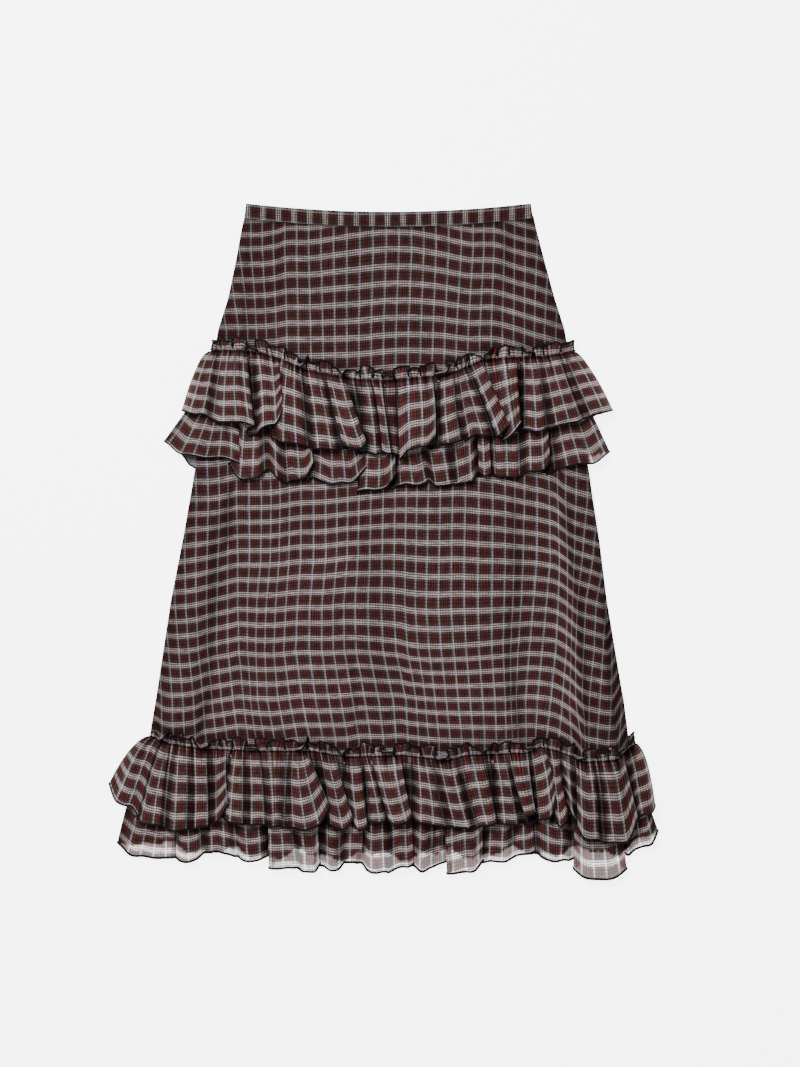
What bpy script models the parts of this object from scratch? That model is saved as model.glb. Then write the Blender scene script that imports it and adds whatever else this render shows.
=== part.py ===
"""Tiered ruffle skirt in fine checked cloth, laid flat on its back on a level surface.

An A-line tube of two panels hangs from a narrow waistband. A double ruffle is gathered onto it at the
hip and another along its bottom edge. Each ruffle has a long under layer and a shorter top layer,
whose gathered heading stands above the stitching. Tables and named sizes are in millimetres. The
waist points to +Y, the front faces +Z, and Z = 0 is the surface that the skirt lies on.
"""

from collections import namedtuple

import bpy
import numpy as np

MM = 0.001                # metres in a millimetre
COLLECTION = "tiered_ruffle_skirt"

WALL = 1.0                # thickness of one wall of cloth
SEAM = 0.3                # gap between pieces at a seam, or face to face
LIFT = WALL + SEAM        # from the middle of one wall to the middle of the next
RUFFLE_LIFT = LIFT + 0.5  # the same where a gathered edge lies on the front panel
FLOOR_REST = 0.5 * WALL   # middle of a wall that lies on the floor

# Waistband: a doubled strip
BAND_WALL = 1.6
BAND_DEPTH = 18.0
BAND_FLARE = 4.0          # how much further out its lower corners are than its upper ones
BAND_COLUMNS = 24

# Bed of back ruffles under the panels at each tier
BED_RISE = 5.3            # how far the back panel is lifted over the back ruffles
BACK_WAVE = 1.3           # height of the pressed waves in a back ruffle
BACK_UNDER_BASE = 2.9     # middle of the back under layer's wall at its lowest

# Front ruffles
UNDER_CREST = 7.0         # tallest fold of an under layer
TOP_LIFT = 11.0           # how far a top layer's valleys end above the panel
PUFF_DROP = 24.0          # drop below the stitching in which a ruffle reaches most of its height
UNDER_START = 5.0         # an under layer is sewn on this far below the top layer's stitching
SIDE_ROUND = 15.0         # width over which a ruffle rounds down to its side seam
SIDE_CLEAR = 10.0         # distance past the body's side at which it begins to do so
SIDE_FREE = 26.0          # distance past the body's side at which it is free to do so
TUCK_STEP = 0.9           # between a tuck's points where it lies open at the stitching
HEADING = 13.0            # mean height of the gathered heading above the stitching
HEADING_CREST = 4.5       # height of the heading's waves above the panel
HEADING_PITCH = 19.0      # distance between the heading's waves

CLOTH_DARK = (0.075, 0.058, 0.055)
CLOTH_BODY = (0.095, 0.078, 0.074)
CLOTH_BAND = (0.130, 0.112, 0.110)
CLOTH_ROUGHNESS = 0.9

# Body outline from the waist seam down to the bottom stitching
Side = namedtuple("Side", "y left right")
BODY_SIDES = (
    Side(404, -163, 177),
    Side(376, -170, 183),
    Side(337, -177, 193),
    Side(289, -187, 206),
    Side(253, -198, 217),
    Side(85, -226, 246),
    Side(49, -232, 251),
    Side(1, -241, 259),
    Side(-71, -255, 268),
    Side(-143, -266, 280),
    Side(-191, -273, 288),
    Side(-265, -285, 297),
)

# The waist's top edge is a shallow arch that dips in the middle
WAIST_LEFT = -166.0
WAIST_RIGHT = 178.0
WAIST_LOW = 394.8
WAIST_DIP = 10.2

# Lines of stitching that gather the ruffles onto the body
Level = namedtuple("Level", "x y")
HIP_STITCH = (
    Level(-230, 228),
    Level(-172, 227),
    Level(-146, 224),
    Level(-118, 215),
    Level(-93, 204),
    Level(-34, 193),
    Level(2, 191),
    Level(44, 195),
    Level(68, 197),
    Level(92, 204),
    Level(116, 215),
    Level(140, 218),
    Level(194, 220),
    Level(240, 229),
)
HEM_STITCH = (
    Level(-285, -230),
    Level(-256, -242),
    Level(-220, -248),
    Level(-149, -251),
    Level(-85, -251),
    Level(-43, -258),
    Level(25, -256),
    Level(76, -262),
    Level(99, -256),
    Level(172, -253),
    Level(187, -246),
    Level(209, -251),
    Level(241, -264),
    Level(278, -262),
    Level(305, -238),
)

# Zones where the panels lie over the back ruffles: rise begins, is whole, ends, is gone
Bed = namedtuple("Bed", "rise full ease gone")
TIER_BEDS = (
    Bed(305, 250, 48, 0),
    Bed(-160, -212, -430, -460),
)

# Long soft folds of the front panel: a ridge where height is positive, a trough where it is negative
Crease = namedtuple("Crease", "x_top y_top x_foot y_foot height half_width")
FRONT_CREASES = (
    Crease(-164, 376, -172, 262, 2.4, 9),
    Crease(-120, 380, -112, 300, 2.0, 10),
    Crease(133, 384, 160, 250, 3.0, 11),
    Crease(164, 360, 190, 240, 2.0, 12),
    Crease(-182, 62, -226, -240, -2.2, 13),
    Crease(-206, 60, -252, -235, 2.2, 12),
    Crease(-60, 60, -95, -240, 1.6, 22),
    Crease(205, 62, 232, -240, 5.0, 11),
    Crease(222, 62, 250, -240, -2.0, 9),
    Crease(158, 60, 163, -240, -2.0, 14),
    Crease(60, 60, 70, -240, 1.4, 30),
)
FRONT_PUFF = 2.6          # slack of the front panel above the back one, away from its sides
PUFF_MARGIN = 45.0        # distance from the side over which the slack comes in
HEM_SAG = 4.8             # how far the front hem ruffles sink below the panel's foot
HEM_SAG_START = 9.0       # drop below the bottom stitching at which they begin to sink
HEM_SAG_LENGTH = 60.0     # and the length over which they do so

# One row for each fold of a ruffle, left to right. left and right are its edges at the stitching
# and at the hem, low_ is the hem's Y at the left edge, the middle and the right edge, crest is its
# height, and tuck_ is how far the cloth goes back under the fold at that edge.
Fold = namedtuple(
    "Fold",
    "left_top right_top left_hem right_hem low_left low_mid low_right crest tuck_left tuck_right",
)

HIP_TOP_FOLDS = (
    Fold(-206, -196, -242, -206, 157, 152, 146, 5, 0, 0),
    Fold(-193, -164, -204, -154, 146, 140, 135, 12, 0, 9),
    Fold(-157, -136, -149, -123, 128, 134, 142, 8, 0, 0),
    Fold(-131, -73, -120, -52, 125, 113, 111, 7, 0, 0),
    Fold(-68, -47, -49, -21, 114, 115, 114, 15, 7, 7),
    Fold(-22, -6, -14, 3, 115, 104, 106, 9, 0, 0),
    Fold(-3, 13, 6, 17, 106, 104, 104, 5, 0, 0),
    Fold(18, 58, 20, 63, 97, 109, 125, 13, 6, 8),
    Fold(65, 86, 68, 94, 113, 114, 121, 9, 0, 0),
    Fold(89, 100, 97, 130, 121, 126, 124, 6, 0, 0),
    Fold(104, 116, 133, 148, 125, 132, 136, 14, 6, 6),
    Fold(122, 160, 150, 165, 122, 130, 139, 8, 0, 0),
    Fold(167, 210, 169, 242, 133, 134, 147, 10, 0, 0),
    Fold(213, 229, 245, 275, 147, 153, 157, 5, 0, 0),
)

HIP_UNDER_FOLDS = (
    Fold(-190, -174, -263, -172, 120, 101, 94, 6, 0, 6),
    Fold(-170, -148, -168, -141, 90, 76, 86, 6, 0, 0),
    Fold(-142, -124, -134, -118, 86, 76, 72, 5, 0, 0),
    Fold(-120, -92, -115, -86, 71, 73, 90, 7, 0, 6),
    Fold(-84, -34, -82, -20, 78, 69, 86, 6, 0, 0),
    Fold(-24, 6, -16, 14, 60, 64, 79, 6, 0, 0),
    Fold(14, 60, 18, 66, 67, 68, 68, 7, 0, 0),
    Fold(68, 104, 69, 112, 67, 70, 76, 6, 0, 0),
    Fold(110, 124, 115, 129, 77, 84, 82, 7, 0, 0),
    Fold(128, 190, 132, 199, 80, 78, 93, 6, 0, 6),
    Fold(194, 214, 206, 271, 84, 92, 108, 5, 0, 0),
)

HEM_TOP_FOLDS = (
    Fold(-278, -266, -329, -291, -291, -314, -329, 5, 0, 0),
    Fold(-263, -251, -288, -245, -330, -342, -343, 7, 0, 0),
    Fold(-247, -218, -241, -214, -344, -344, -341, 8, 0, 0),
    Fold(-207, -187, -208, -186, -340, -335, -316, 10, 0, 6),
    Fold(-180, -166, -181, -164, -332, -336, -337, 8, 0, 0),
    Fold(-162, -146, -161, -139, -337, -338, -339, 7, 0, 0),
    Fold(-144, -115, -137, -120, -339, -339, -340, 8, 0, 0),
    Fold(-111, -93, -117, -66, -339, -342, -322, 13, 6, 8),
    Fold(-77, -59, -62, -38, -338, -341, -331, 10, 0, 6),
    Fold(-46, -28, -35, -19, -336, -344, -339, 8, 0, 0),
    Fold(-24, -18, -16, 5, -336, -334, -332, 8, 0, 0),
    Fold(-14, 20, 8, 34, -333, -335, -329, 15, 7, 8),
    Fold(40, 118, 38, 135, -332, -342, -334, 11, 6, 8),
    Fold(130, 146, 138, 166, -335, -337, -336, 6, 0, 0),
    Fold(151, 172, 169, 182, -334, -333, -330, 14, 6, 6),
    Fold(178, 194, 186, 204, -333, -332, -331, 8, 0, 0),
    Fold(198, 207, 206, 219, -332, -340, -320, 10, 0, 0),
    Fold(211, 226, 223, 231, -322, -331, -337, 4, 0, 0),
    Fold(233, 272, 237, 284, -340, -360, -359, 11, 6, 0),
    Fold(275, 283, 286, 302, -358, -358, -344, 10, 0, 6),
    Fold(291, 301, 305, 326, -332, -325, -316, 5, 0, 0),
)

HEM_UNDER_FOLDS = (
    Fold(-266, -250, -319, -248, -361, -378, -379, 6, 0, 6),
    Fold(-244, -226, -244, -215, -380, -382, -378, 5, 0, 0),
    Fold(-220, -186, -211, -178, -373, -373, -377, 6, 0, 0),
    Fold(-182, -144, -175, -142, -378, -382, -380, 6, 0, 0),
    Fold(-140, -110, -138, -104, -389, -390, -392, 7, 6, 0),
    Fold(-104, -80, -100, -77, -394, -394, -386, 7, 0, 6),
    Fold(-70, -50, -69, -52, -390, -394, -393, 6, 0, 0),
    Fold(-46, -28, -47, -26, -390, -384, -381, 7, 0, 0),
    Fold(-24, 4, -22, 7, -388, -396, -396, 6, 0, 0),
    Fold(10, 32, 10, 34, -394, -390, -386, 5, 0, 0),
    Fold(36, 54, 37, 55, -390, -395, -390, 6, 0, 0),
    Fold(58, 70, 59, 73, -390, -388, -385, 5, 0, 0),
    Fold(74, 118, 76, 121, -397, -396, -383, 7, 6, 6),
    Fold(124, 150, 125, 152, -384, -383, -380, 5, 0, 0),
    Fold(154, 176, 156, 181, -378, -375, -372, 6, 0, 6),
    Fold(182, 222, 185, 221, -376, -382, -382, 6, 0, 0),
    Fold(228, 276, 226, 290, -394, -405, -391, 7, 6, 6),
    Fold(284, 292, 297, 329, -376, -366, -347, 5, 0, 0),
)

# Hems of the back ruffles; their side seams are those of the front ones
HIP_TOP_BACK_HEM = (Level(-206, 140), Level(-130, 122), Level(-20, 112), Level(90, 118), Level(206, 138))
HIP_UNDER_BACK_HEM = (Level(-226, 92), Level(-140, 84), Level(0, 76), Level(120, 82), Level(220, 96))
HEM_TOP_BACK_HEM = (Level(-270, -322), Level(-150, -330), Level(10, -334), Level(150, -330), Level(270, -330))
HEM_UNDER_BACK_HEM = (Level(-280, -362), Level(-160, -374), Level(0, -376), Level(140, -372), Level(280, -370))

# A ruffle tier: its stitching, the front folds and the back hems
Tier = namedtuple("Tier", "name stitch top_folds under_folds top_back_hem under_back_hem")
TIERS = (
    Tier("hip_ruffle", HIP_STITCH, HIP_TOP_FOLDS, HIP_UNDER_FOLDS, HIP_TOP_BACK_HEM, HIP_UNDER_BACK_HEM),
    Tier("hem_ruffle", HEM_STITCH, HEM_TOP_FOLDS, HEM_UNDER_FOLDS, HEM_TOP_BACK_HEM, HEM_UNDER_BACK_HEM),
)

FRONT_GRID = (22, 24)     # cells across and down the front panel
BACK_GRID = (11, 24)      # cells across and down the back panel
TOP_DROPS = (0.0, 0.13, 0.5, 1.0)      # rows of a top layer, as shares of its drop
UNDER_DROPS = (0.0, 0.10, 0.48, 1.0)   # rows of an under layer
HEADING_ROWS = (1.0, 0.5)              # rows of the heading, as shares of its height
WIDE_FOLD = 30.0          # a wider fold has two shoulders beside its crown
SHOULDER = 0.92           # heights of points of a fold, as shares of its crest
TURN_HIGH = 0.78
TURN_MID = 0.48
TURN_LOW = 0.22
FOOT = 0.08
LONG_CELL = 16.0          # a longer step along the hem is split in two
BACK_COLUMNS = 44
BACK_WAVES = 11           # pressed waves along a back ruffle


def smooth(share):
    """A smooth step from 0 to 1, flat at both ends."""
    share = np.clip(share, 0.0, 1.0)
    return share * share * (3.0 - 2.0 * share)


def along(table, x):
    """Y of a line given as Level rows, at x."""
    return np.interp(x, [row.x for row in table], [row.y for row in table])


def waist_edge(x):
    """Y of the waist's top edge at x: a parabola."""
    middle = 0.5 * (WAIST_LEFT + WAIST_RIGHT)
    return WAIST_LOW + WAIST_DIP * ((x - middle) / (WAIST_RIGHT - middle)) ** 2


def body_side(y, edge):
    """X of the body's left or right edge at height y."""
    rows = BODY_SIDES[::-1]
    return np.interp(y, [row.y for row in rows], [getattr(row, edge) for row in rows])


def back_panel_height(y):
    """Middle of the back panel's wall: on the floor, and lifted over the back ruffles."""
    lift = np.zeros_like(y)
    for bed in TIER_BEDS:
        coming = smooth((bed.rise - y) / (bed.rise - bed.full))
        going = smooth((y - bed.gone) / (bed.ease - bed.gone))
        lift = np.maximum(lift, BED_RISE * coming * going)
    return FLOOR_REST + lift


def crease_height(crease, x, y):
    """A soft ridge or trough along one line, which fades towards its ends."""
    down = (crease.y_top - y) / (crease.y_top - crease.y_foot)
    centre = crease.x_top + (crease.x_foot - crease.x_top) * down
    across = np.exp(-(((x - centre) / crease.half_width) ** 2))
    return crease.height * across * smooth(down / 0.15) * smooth((1.0 - down) / 0.12)


def front_panel_height(x, y):
    """Middle of the front panel's wall: the back panel's, one wall up, with slack and creases."""
    left = body_side(y, "left")
    right = body_side(y, "right")
    inside = np.clip(np.minimum(x - left, right - x), 0.0, None)
    slack = FRONT_PUFF * smooth(inside / PUFF_MARGIN)
    folds = sum(crease_height(crease, x, y) for crease in FRONT_CREASES)
    folds = np.maximum(slack + folds * smooth(inside / 12.0), 0.0)
    return back_panel_height(y) + LIFT + folds


def bed_height(x, y):
    """What the front ruffles lie on: the front panel, and below its foot the ruffles behind it."""
    below = along(HEM_STITCH, x) - HEM_SAG_START - y
    return front_panel_height(x, y) - HEM_SAG * smooth(below / HEM_SAG_LENGTH)


def fabric(name, colour):
    """The material of one piece."""
    material = bpy.data.materials.new(name)
    material.use_nodes = True
    shader = material.node_tree.nodes["Principled BSDF"]
    shader.inputs["Base Color"].default_value = (*colour, 1.0)
    shader.inputs["Roughness"].default_value = CLOTH_ROUGHNESS
    shader.inputs["Metallic"].default_value = 0.0
    material.diffuse_color = (*colour, 1.0)
    return material


def cloth_piece(name, points, wall, colour):
    """A piece of cloth from a grid of points (rows, columns, 3), given its wall to both sides.

    Rows run down the skirt and columns run from its left to its right, so the faces point up. Each
    cell is two triangles, so both sides of the wall bend along the same lines.
    """
    rows, columns = points.shape[:2]
    index = np.arange(rows * columns).reshape(rows, columns)
    low_left, low_right = index[1:, :-1], index[1:, 1:]
    high_left, high_right = index[:-1, :-1], index[:-1, 1:]
    halves = ((low_left, low_right, high_right), (low_left, high_right, high_left))
    faces = np.concatenate([np.stack(half, axis=-1).reshape(-1, 3) for half in halves])
    mesh = bpy.data.meshes.new(name)
    mesh.from_pydata((points.reshape(-1, 3) * MM).tolist(), [], faces.tolist())
    mesh.shade_smooth()
    mesh.materials.append(fabric(name, colour))
    piece = bpy.data.objects.new(name, mesh)
    bpy.data.collections[COLLECTION].objects.link(piece)
    shell = piece.modifiers.new("wall", "SOLIDIFY")
    shell.thickness = wall * MM
    shell.offset = 0.0
    return piece


def panel(name, grid, height, colour):
    """The front or the back of the body, from the waist seam to just below the bottom stitching."""
    across, down = grid
    u = np.linspace(0.0, 1.0, across + 1)[None, :]
    v = np.linspace(0.0, 1.0, down + 1)[:, None]
    y = np.full((down + 1, across + 1), 0.0)
    x = np.zeros_like(y)
    for _ in range(3):    # the edges and the seam lines depend on each other
        top = waist_edge(x) - BAND_DEPTH - SEAM
        foot = along(HEM_STITCH, x) - UNDER_START
        y = top + (foot - top) * v
        x = body_side(y, "left") + (body_side(y, "right") - body_side(y, "left")) * u
    points = np.stack([x, y, height(x, y)], axis=-1)
    return cloth_piece(name, points, WALL, colour)


def waistband(name, middle):
    """Half of the waistband, whose wall's middle is at this height."""
    share = np.linspace(-1.0, 1.0, BAND_COLUMNS + 1)[None, :]
    down = np.array([0.0, 0.5, 1.0])[:, None]
    half_width = 0.5 * (WAIST_RIGHT - WAIST_LEFT) + BAND_FLARE * down
    x = 0.5 * (WAIST_LEFT + WAIST_RIGHT) + half_width * share
    y = waist_edge(x) - BAND_DEPTH * down
    points = np.stack([x, y, np.full(x.shape, middle)], axis=-1)
    return cloth_piece(name, points, BAND_WALL, CLOTH_BAND)


def fold_section(folds):
    """The strip's section at the stitching and at the hem, as rows of (x_top, x_hem, y_hem, height).

    Each fold goes from its left edge over its crown to its right edge. A tuck adds four points, so
    the cloth turns back under the fold there as a Z. At the stitching the tuck lies open beside it.
    """
    section = []

    def add(fold, share, low, height):
        top = fold.left_top + (fold.right_top - fold.left_top) * share
        hem = fold.left_hem + (fold.right_hem - fold.left_hem) * share
        section.append((top, hem, low, height * fold.crest))

    def turn(top, hem, low, crest, outward, depth):
        """The four points of a tuck, from the fold's edge to the cloth under it."""
        steps = ((0, 0.0, TURN_HIGH), (1, 0.0, TURN_MID), (2, depth, TURN_LOW), (3, depth, 0.0))
        return [
            (top + outward * TUCK_STEP * n, hem - outward * under, low, height * crest)
            for n, under, height in steps
        ]

    for fold in folds:
        wide = fold.right_hem - fold.left_hem > WIDE_FOLD
        if fold.tuck_left:
            tuck = turn(fold.left_top, fold.left_hem, fold.low_left, fold.crest, -1.0, fold.tuck_left)
            section.extend(tuck[::-1])
        else:
            add(fold, 0.0, fold.low_left, FOOT)
        if wide:
            add(fold, 0.2, 0.6 * fold.low_left + 0.4 * fold.low_mid, SHOULDER)
        add(fold, 0.5, fold.low_mid, 1.0)
        if wide:
            add(fold, 0.8, 0.6 * fold.low_right + 0.4 * fold.low_mid, SHOULDER)
        if fold.tuck_right:
            tuck = turn(fold.right_top, fold.right_hem, fold.low_right, fold.crest, 1.0, fold.tuck_right)
            section.extend(tuck)
        else:
            add(fold, 1.0, fold.low_right, FOOT)
    return np.array(section)


def refined(section, longest):
    """The section with each step that is longer than this split at its smooth middle."""
    rows = [section[0]]
    for i in range(len(section) - 1):
        here, there = section[i], section[i + 1]
        step = np.hypot(there[1] - here[1], there[3] - here[3])
        if step > longest:
            before = section[max(i - 1, 0)]
            after = section[min(i + 2, len(section) - 1)]
            rows.append((9.0 * (here + there) - before - after) / 16.0)
        rows.append(there)
    return np.array(rows)


def side_share(x, left, right):
    """0 at a ruffle's side seams and 1 away from them, along a quarter circle."""
    inside = np.clip(np.minimum(x - left, right - x) / SIDE_ROUND, 0.0, 1.0)
    return np.sqrt(1.0 - (1.0 - inside) ** 2)


def puffed(drop):
    """How far a ruffle has come to its full height, this far below the stitching."""
    return 1.0 - np.exp(-np.maximum(drop, 0.0) / PUFF_DROP)


def front_ruffle(name, stitch, folds, is_top):
    """A front ruffle layer, from the stitching, or its heading's edge, down to its hem."""
    section = refined(fold_section(folds), LONG_CELL)
    x_top, x_hem, y_hem, height = section.T
    start = 0.0 if is_top else UNDER_START
    rows = []
    if is_top:
        for share in HEADING_ROWS:
            phase = 2.0 * np.pi * (x_top - x_top[0]) / HEADING_PITCH
            x = x_top + 1.5 * share * np.sin(phase + 1.0)
            y = along(stitch, x_top) + HEADING * share * (1.0 + 0.18 * np.sin(0.5 * phase))
            wave = HEADING_CREST * share * (0.5 + 0.5 * np.sin(phase))
            rows.append((x, y, bed_height(x, y) + RUFFLE_LIFT + wave))
    for share in TOP_DROPS if is_top else UNDER_DROPS:
        x = x_top + (x_hem - x_top) * share
        y_start = along(stitch, x_top) - start
        y = y_start + (y_hem - y_start) * share
        drop = y_start - y
        if is_top:
            base = RUFFLE_LIFT + TOP_LIFT * puffed(drop)
            fold = height * puffed(drop)
        else:
            base = RUFFLE_LIFT
            fold = np.minimum(height, UNDER_CREST) * puffed(drop)
        seat = FLOOR_REST + LIFT if is_top else BACK_UNDER_BASE + LIFT
        beyond = np.maximum(body_side(y, "left") - x, x - body_side(y, "right"))
        free = smooth((beyond - SIDE_CLEAR) / (SIDE_FREE - SIDE_CLEAR))
        down = (1.0 - side_share(x, x[0], x[-1])) * free
        z = bed_height(x, y) + base + fold
        rows.append((x, y, z + (seat - z) * down))
    points = np.array(rows).transpose(0, 2, 1)
    return cloth_piece(name, points, WALL, CLOTH_DARK)


def back_ruffle(name, stitch, folds, hem, is_top):
    """A back ruffle layer, pressed flat between the floor and the back panel."""
    left, right = folds[0], folds[-1]
    u = np.linspace(0.0, 1.0, BACK_COLUMNS + 1)
    start = 0.0 if is_top else UNDER_START
    x_top = left.left_top + (right.right_top - left.left_top) * u
    x_hem = left.left_hem + (right.right_hem - left.left_hem) * u
    y_hem = np.interp(
        x_hem,
        [left.left_hem, *(row.x for row in hem), right.right_hem],
        [left.low_left, *(row.y for row in hem), right.low_right],
    )
    sides = smooth(np.minimum(u, 1.0 - u) * BACK_COLUMNS / 3.0)
    ripple = np.sin(2.0 * np.pi * BACK_WAVES * u + (0.0 if is_top else 1.2))
    y_hem = y_hem + 3.0 * ripple * sides
    rows = []
    drops = TOP_DROPS if is_top else UNDER_DROPS
    shares = [-HEADING * share for share in HEADING_ROWS] if is_top else []
    for extra in shares:
        y = along(stitch, x_top) - extra
        rows.append((x_top, y, np.full(x_top.shape, FLOOR_REST)))
    for share in drops:
        x = x_top + (x_hem - x_top) * share
        y_start = along(stitch, x_top) - start
        y = y_start + (y_hem - y_start) * share
        wave = BACK_WAVE * (0.5 + 0.5 * ripple) * sides * smooth(share * 2.0)
        base = FLOOR_REST if is_top else BACK_UNDER_BASE
        rows.append((x, y, base + wave))
    points = np.array(rows).transpose(0, 2, 1)
    return cloth_piece(name, points, WALL, CLOTH_DARK)


def clear_scene():
    """Removes what the scene starts with and makes the skirt's collection."""
    for item in list(bpy.data.objects):
        bpy.data.objects.remove(item)
    collection = bpy.data.collections.new(COLLECTION)
    bpy.context.scene.collection.children.link(collection)


def build():
    """Makes every piece of the skirt."""
    clear_scene()
    panel("back_panel", BACK_GRID, lambda x, y: back_panel_height(y), CLOTH_BODY)
    panel("front_panel", FRONT_GRID, front_panel_height, CLOTH_BODY)
    waistband("waistband_back", 0.5 * BAND_WALL)
    waistband("waistband_front", 1.5 * BAND_WALL + SEAM)
    for tier in TIERS:
        front_ruffle(tier.name + "_under_front", tier.stitch, tier.under_folds, False)
        front_ruffle(tier.name + "_top_front", tier.stitch, tier.top_folds, True)
        back_ruffle(tier.name + "_under_back", tier.stitch, tier.under_folds, tier.under_back_hem, False)
        back_ruffle(tier.name + "_top_back", tier.stitch, tier.top_folds, tier.top_back_hem, True)


build()
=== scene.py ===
"""Dresses the tiered ruffle skirt in fine checked chiffon, with its folds, gathers and rolled edges.

Tables and shape functions are in millimetres in the frame's axes: X to the right, Y from the hem up
to the waist, Z up from the floor that the skirt lies on. Meshes are in metres. Each cloth piece is
a grid of points in rows down the skirt and columns from its left to its right. Its UV map counts
checks: U is the number of warp repeats across, V the number of weft repeats down.
"""

from collections import namedtuple

import bpy
import numpy as np
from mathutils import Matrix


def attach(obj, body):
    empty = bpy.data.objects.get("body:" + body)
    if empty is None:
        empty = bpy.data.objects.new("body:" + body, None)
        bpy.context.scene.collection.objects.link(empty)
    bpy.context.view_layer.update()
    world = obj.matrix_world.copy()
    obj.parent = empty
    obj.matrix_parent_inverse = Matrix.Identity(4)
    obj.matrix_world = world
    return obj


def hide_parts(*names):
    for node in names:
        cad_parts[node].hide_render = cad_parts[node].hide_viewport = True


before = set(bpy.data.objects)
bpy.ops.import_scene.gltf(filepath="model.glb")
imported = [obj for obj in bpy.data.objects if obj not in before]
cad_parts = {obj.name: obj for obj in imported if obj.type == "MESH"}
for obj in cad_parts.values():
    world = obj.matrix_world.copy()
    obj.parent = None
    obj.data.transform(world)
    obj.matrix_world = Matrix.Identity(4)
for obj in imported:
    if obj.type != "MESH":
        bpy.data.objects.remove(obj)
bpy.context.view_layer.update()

bl_info = {
    "name": "Tiered Ruffle Skirt",
    "version": (1, 0, 0),
    "blender": (4, 5, 0),
    "location": "View3D > Sidebar > Skirt",
    "description": "Builds a tiered ruffle skirt in checked chiffon over its frame",
    "category": "Add Mesh",
}

MM = 0.001                # metres in a millimetre
TURN = 2.0 * np.pi        # a whole turn


def records(kind, *values):
    """A table: one record with named columns for each row of values."""
    return tuple(kind(*row) for row in values)


# Sizes that the frame's solids share
SEAM = 0.3                # gap between two pieces
LIFT = 1.3                # from the middle of one cloth wall to the next
RUFFLE_LIFT = 1.8         # the same where a gathered edge lies on the front panel
FLOOR_REST = 0.5          # height at which a wall lies on the floor
BAND_WALL = 1.6           # thickness of each half of the waistband
BAND_DEPTH = 18.0
BED_RISE = 5.3            # how far the back ruffles lift the panels
BACK_WAVE = 1.3           # height of the back ruffles' waves
BACK_UNDER_BASE = 2.9     # height at which the lower layers of the back lie
UNDER_CREST = 7.0         # greatest height of a lower layer's fold
TOP_LIFT = 11.0           # how far a lower layer lifts the upper one
PUFF_DROP = 24.0          # drop over which a ruffle comes to most of its height
UNDER_START = 5.0         # how far below the upper layer the lower one is sewn
SIDE_ROUND = 15.0         # width over which a ruffle rounds down to its side seam
SIDE_CLEAR = 10.0         # distance past the body where that starts
SIDE_FREE = 26.0          # distance past the body where it is complete
TUCK_STEP = 0.9           # step along the stitching from one turn of a tuck to the next
HEADING = 13.0            # height of the frill above the stitching
HEADING_CREST = 4.5       # how far its arches stand up
FRONT_PUFF = 2.6          # slack of the front panel over the back one
PUFF_MARGIN = 45.0        # distance from the sides at which the slack is full
CREASE_MARGIN = 12.0      # the same for its soft folds
HEM_SAG = 4.8             # how far the ruffles come down past the body's foot
HEM_SAG_START = 9.0       # distance past the bottom stitching where that starts
HEM_SAG_LENGTH = 60.0
WAIST_LEFT = -166.0
WAIST_RIGHT = 178.0
WAIST_LOW = 394.8         # Y of the waist's top edge in its middle
WAIST_DIP = 10.2          # how much higher its ends are

# The body's outline: X of its left and right edge at some heights
Side = namedtuple("Side", "y left right")
BODY_SIDES = records(
    Side,
    (404, -163, 177), (376, -170, 183), (337, -177, 193), (289, -187, 206), (253, -198, 217),
    (85, -226, 246), (49, -232, 251), (1, -241, 259), (-71, -255, 268), (-143, -266, 280),
    (-191, -273, 288), (-265, -285, 297),
)

# Lines across the skirt: where the ruffles are sewn on
Level = namedtuple("Level", "x y")
HIP_STITCH = records(
    Level,
    (-230, 228), (-172, 227), (-146, 224), (-118, 215), (-93, 204), (-34, 193), (2, 191), (44, 195),
    (68, 197), (92, 204), (116, 215), (140, 218), (194, 220), (240, 229),
)
HEM_STITCH = records(
    Level,
    (-285, -230), (-256, -242), (-220, -248), (-149, -251), (-85, -251), (-43, -258), (25, -256),
    (76, -262), (99, -256), (172, -253), (187, -246), (209, -251), (241, -264), (278, -262),
    (305, -238),
)

# Where back ruffles lift the panels: Y where that starts, is full, starts to fade and is over
Bed = namedtuple("Bed", "rise full ease gone")
TIER_BEDS = records(Bed, (305, 250, 48, 0), (-160, -212, -430, -460))

# Soft folds of the front panel: a ridge where height is positive, a trough where it is negative
Crease = namedtuple("Crease", "x_top y_top x_foot y_foot height half_width")
FRONT_CREASES = records(
    Crease,
    (-164, 376, -172, 262, 2.4, 9), (-120, 380, -112, 300, 2.0, 10), (133, 384, 160, 250, 3.0, 11),
    (164, 360, 190, 240, 2.0, 12), (-182, 62, -226, -240, -2.2, 13), (-206, 60, -252, -235, 2.2, 12),
    (-60, 60, -95, -240, 1.6, 22), (205, 62, 232, -240, 5.0, 11), (222, 62, 250, -240, -2.0, 9),
    (158, 60, 163, -240, -2.0, 14), (60, 60, 70, -240, 1.4, 30),
)
FINE_CREASES = records(
    Crease,
    (-163, 372, -166, 240, -1.1, 4), (-121, 376, -126, 290, -0.8, 5), (150, 384, 137, 236, -1.1, 5),
    (38, 376, 30, 240, 0.6, 12), (-32, 372, -46, 250, -0.6, 12), (-184, 76, -187, -10, -2.2, 4),
    (-203, 20, -206, -112, -1.3, 7), (-207, -100, -208, -200, -1.5, 4),
    (-212, -180, -222, -244, -2.0, 5), (-152, 20, -148, -236, 0.8, 9), (-40, -130, -30, -242, -1.6, 3),
    (-20, 40, 4, -240, -0.7, 18), (98, -40, 104, -240, 0.7, 14), (156, 80, 158, -40, -1.2, 3),
    (163, 0, 161, -90, -1.5, 4), (151, -60, 150, -200, -1.5, 3), (156, -160, 165, -246, -2.2, 3),
    (204, 74, 226, -60, 1.6, 4), (226, -30, 238, -246, 1.8, 4), (236, -40, 246, -246, -1.2, 3),
    (263, -60, 277, -246, -2.2, 3),
)

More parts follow.
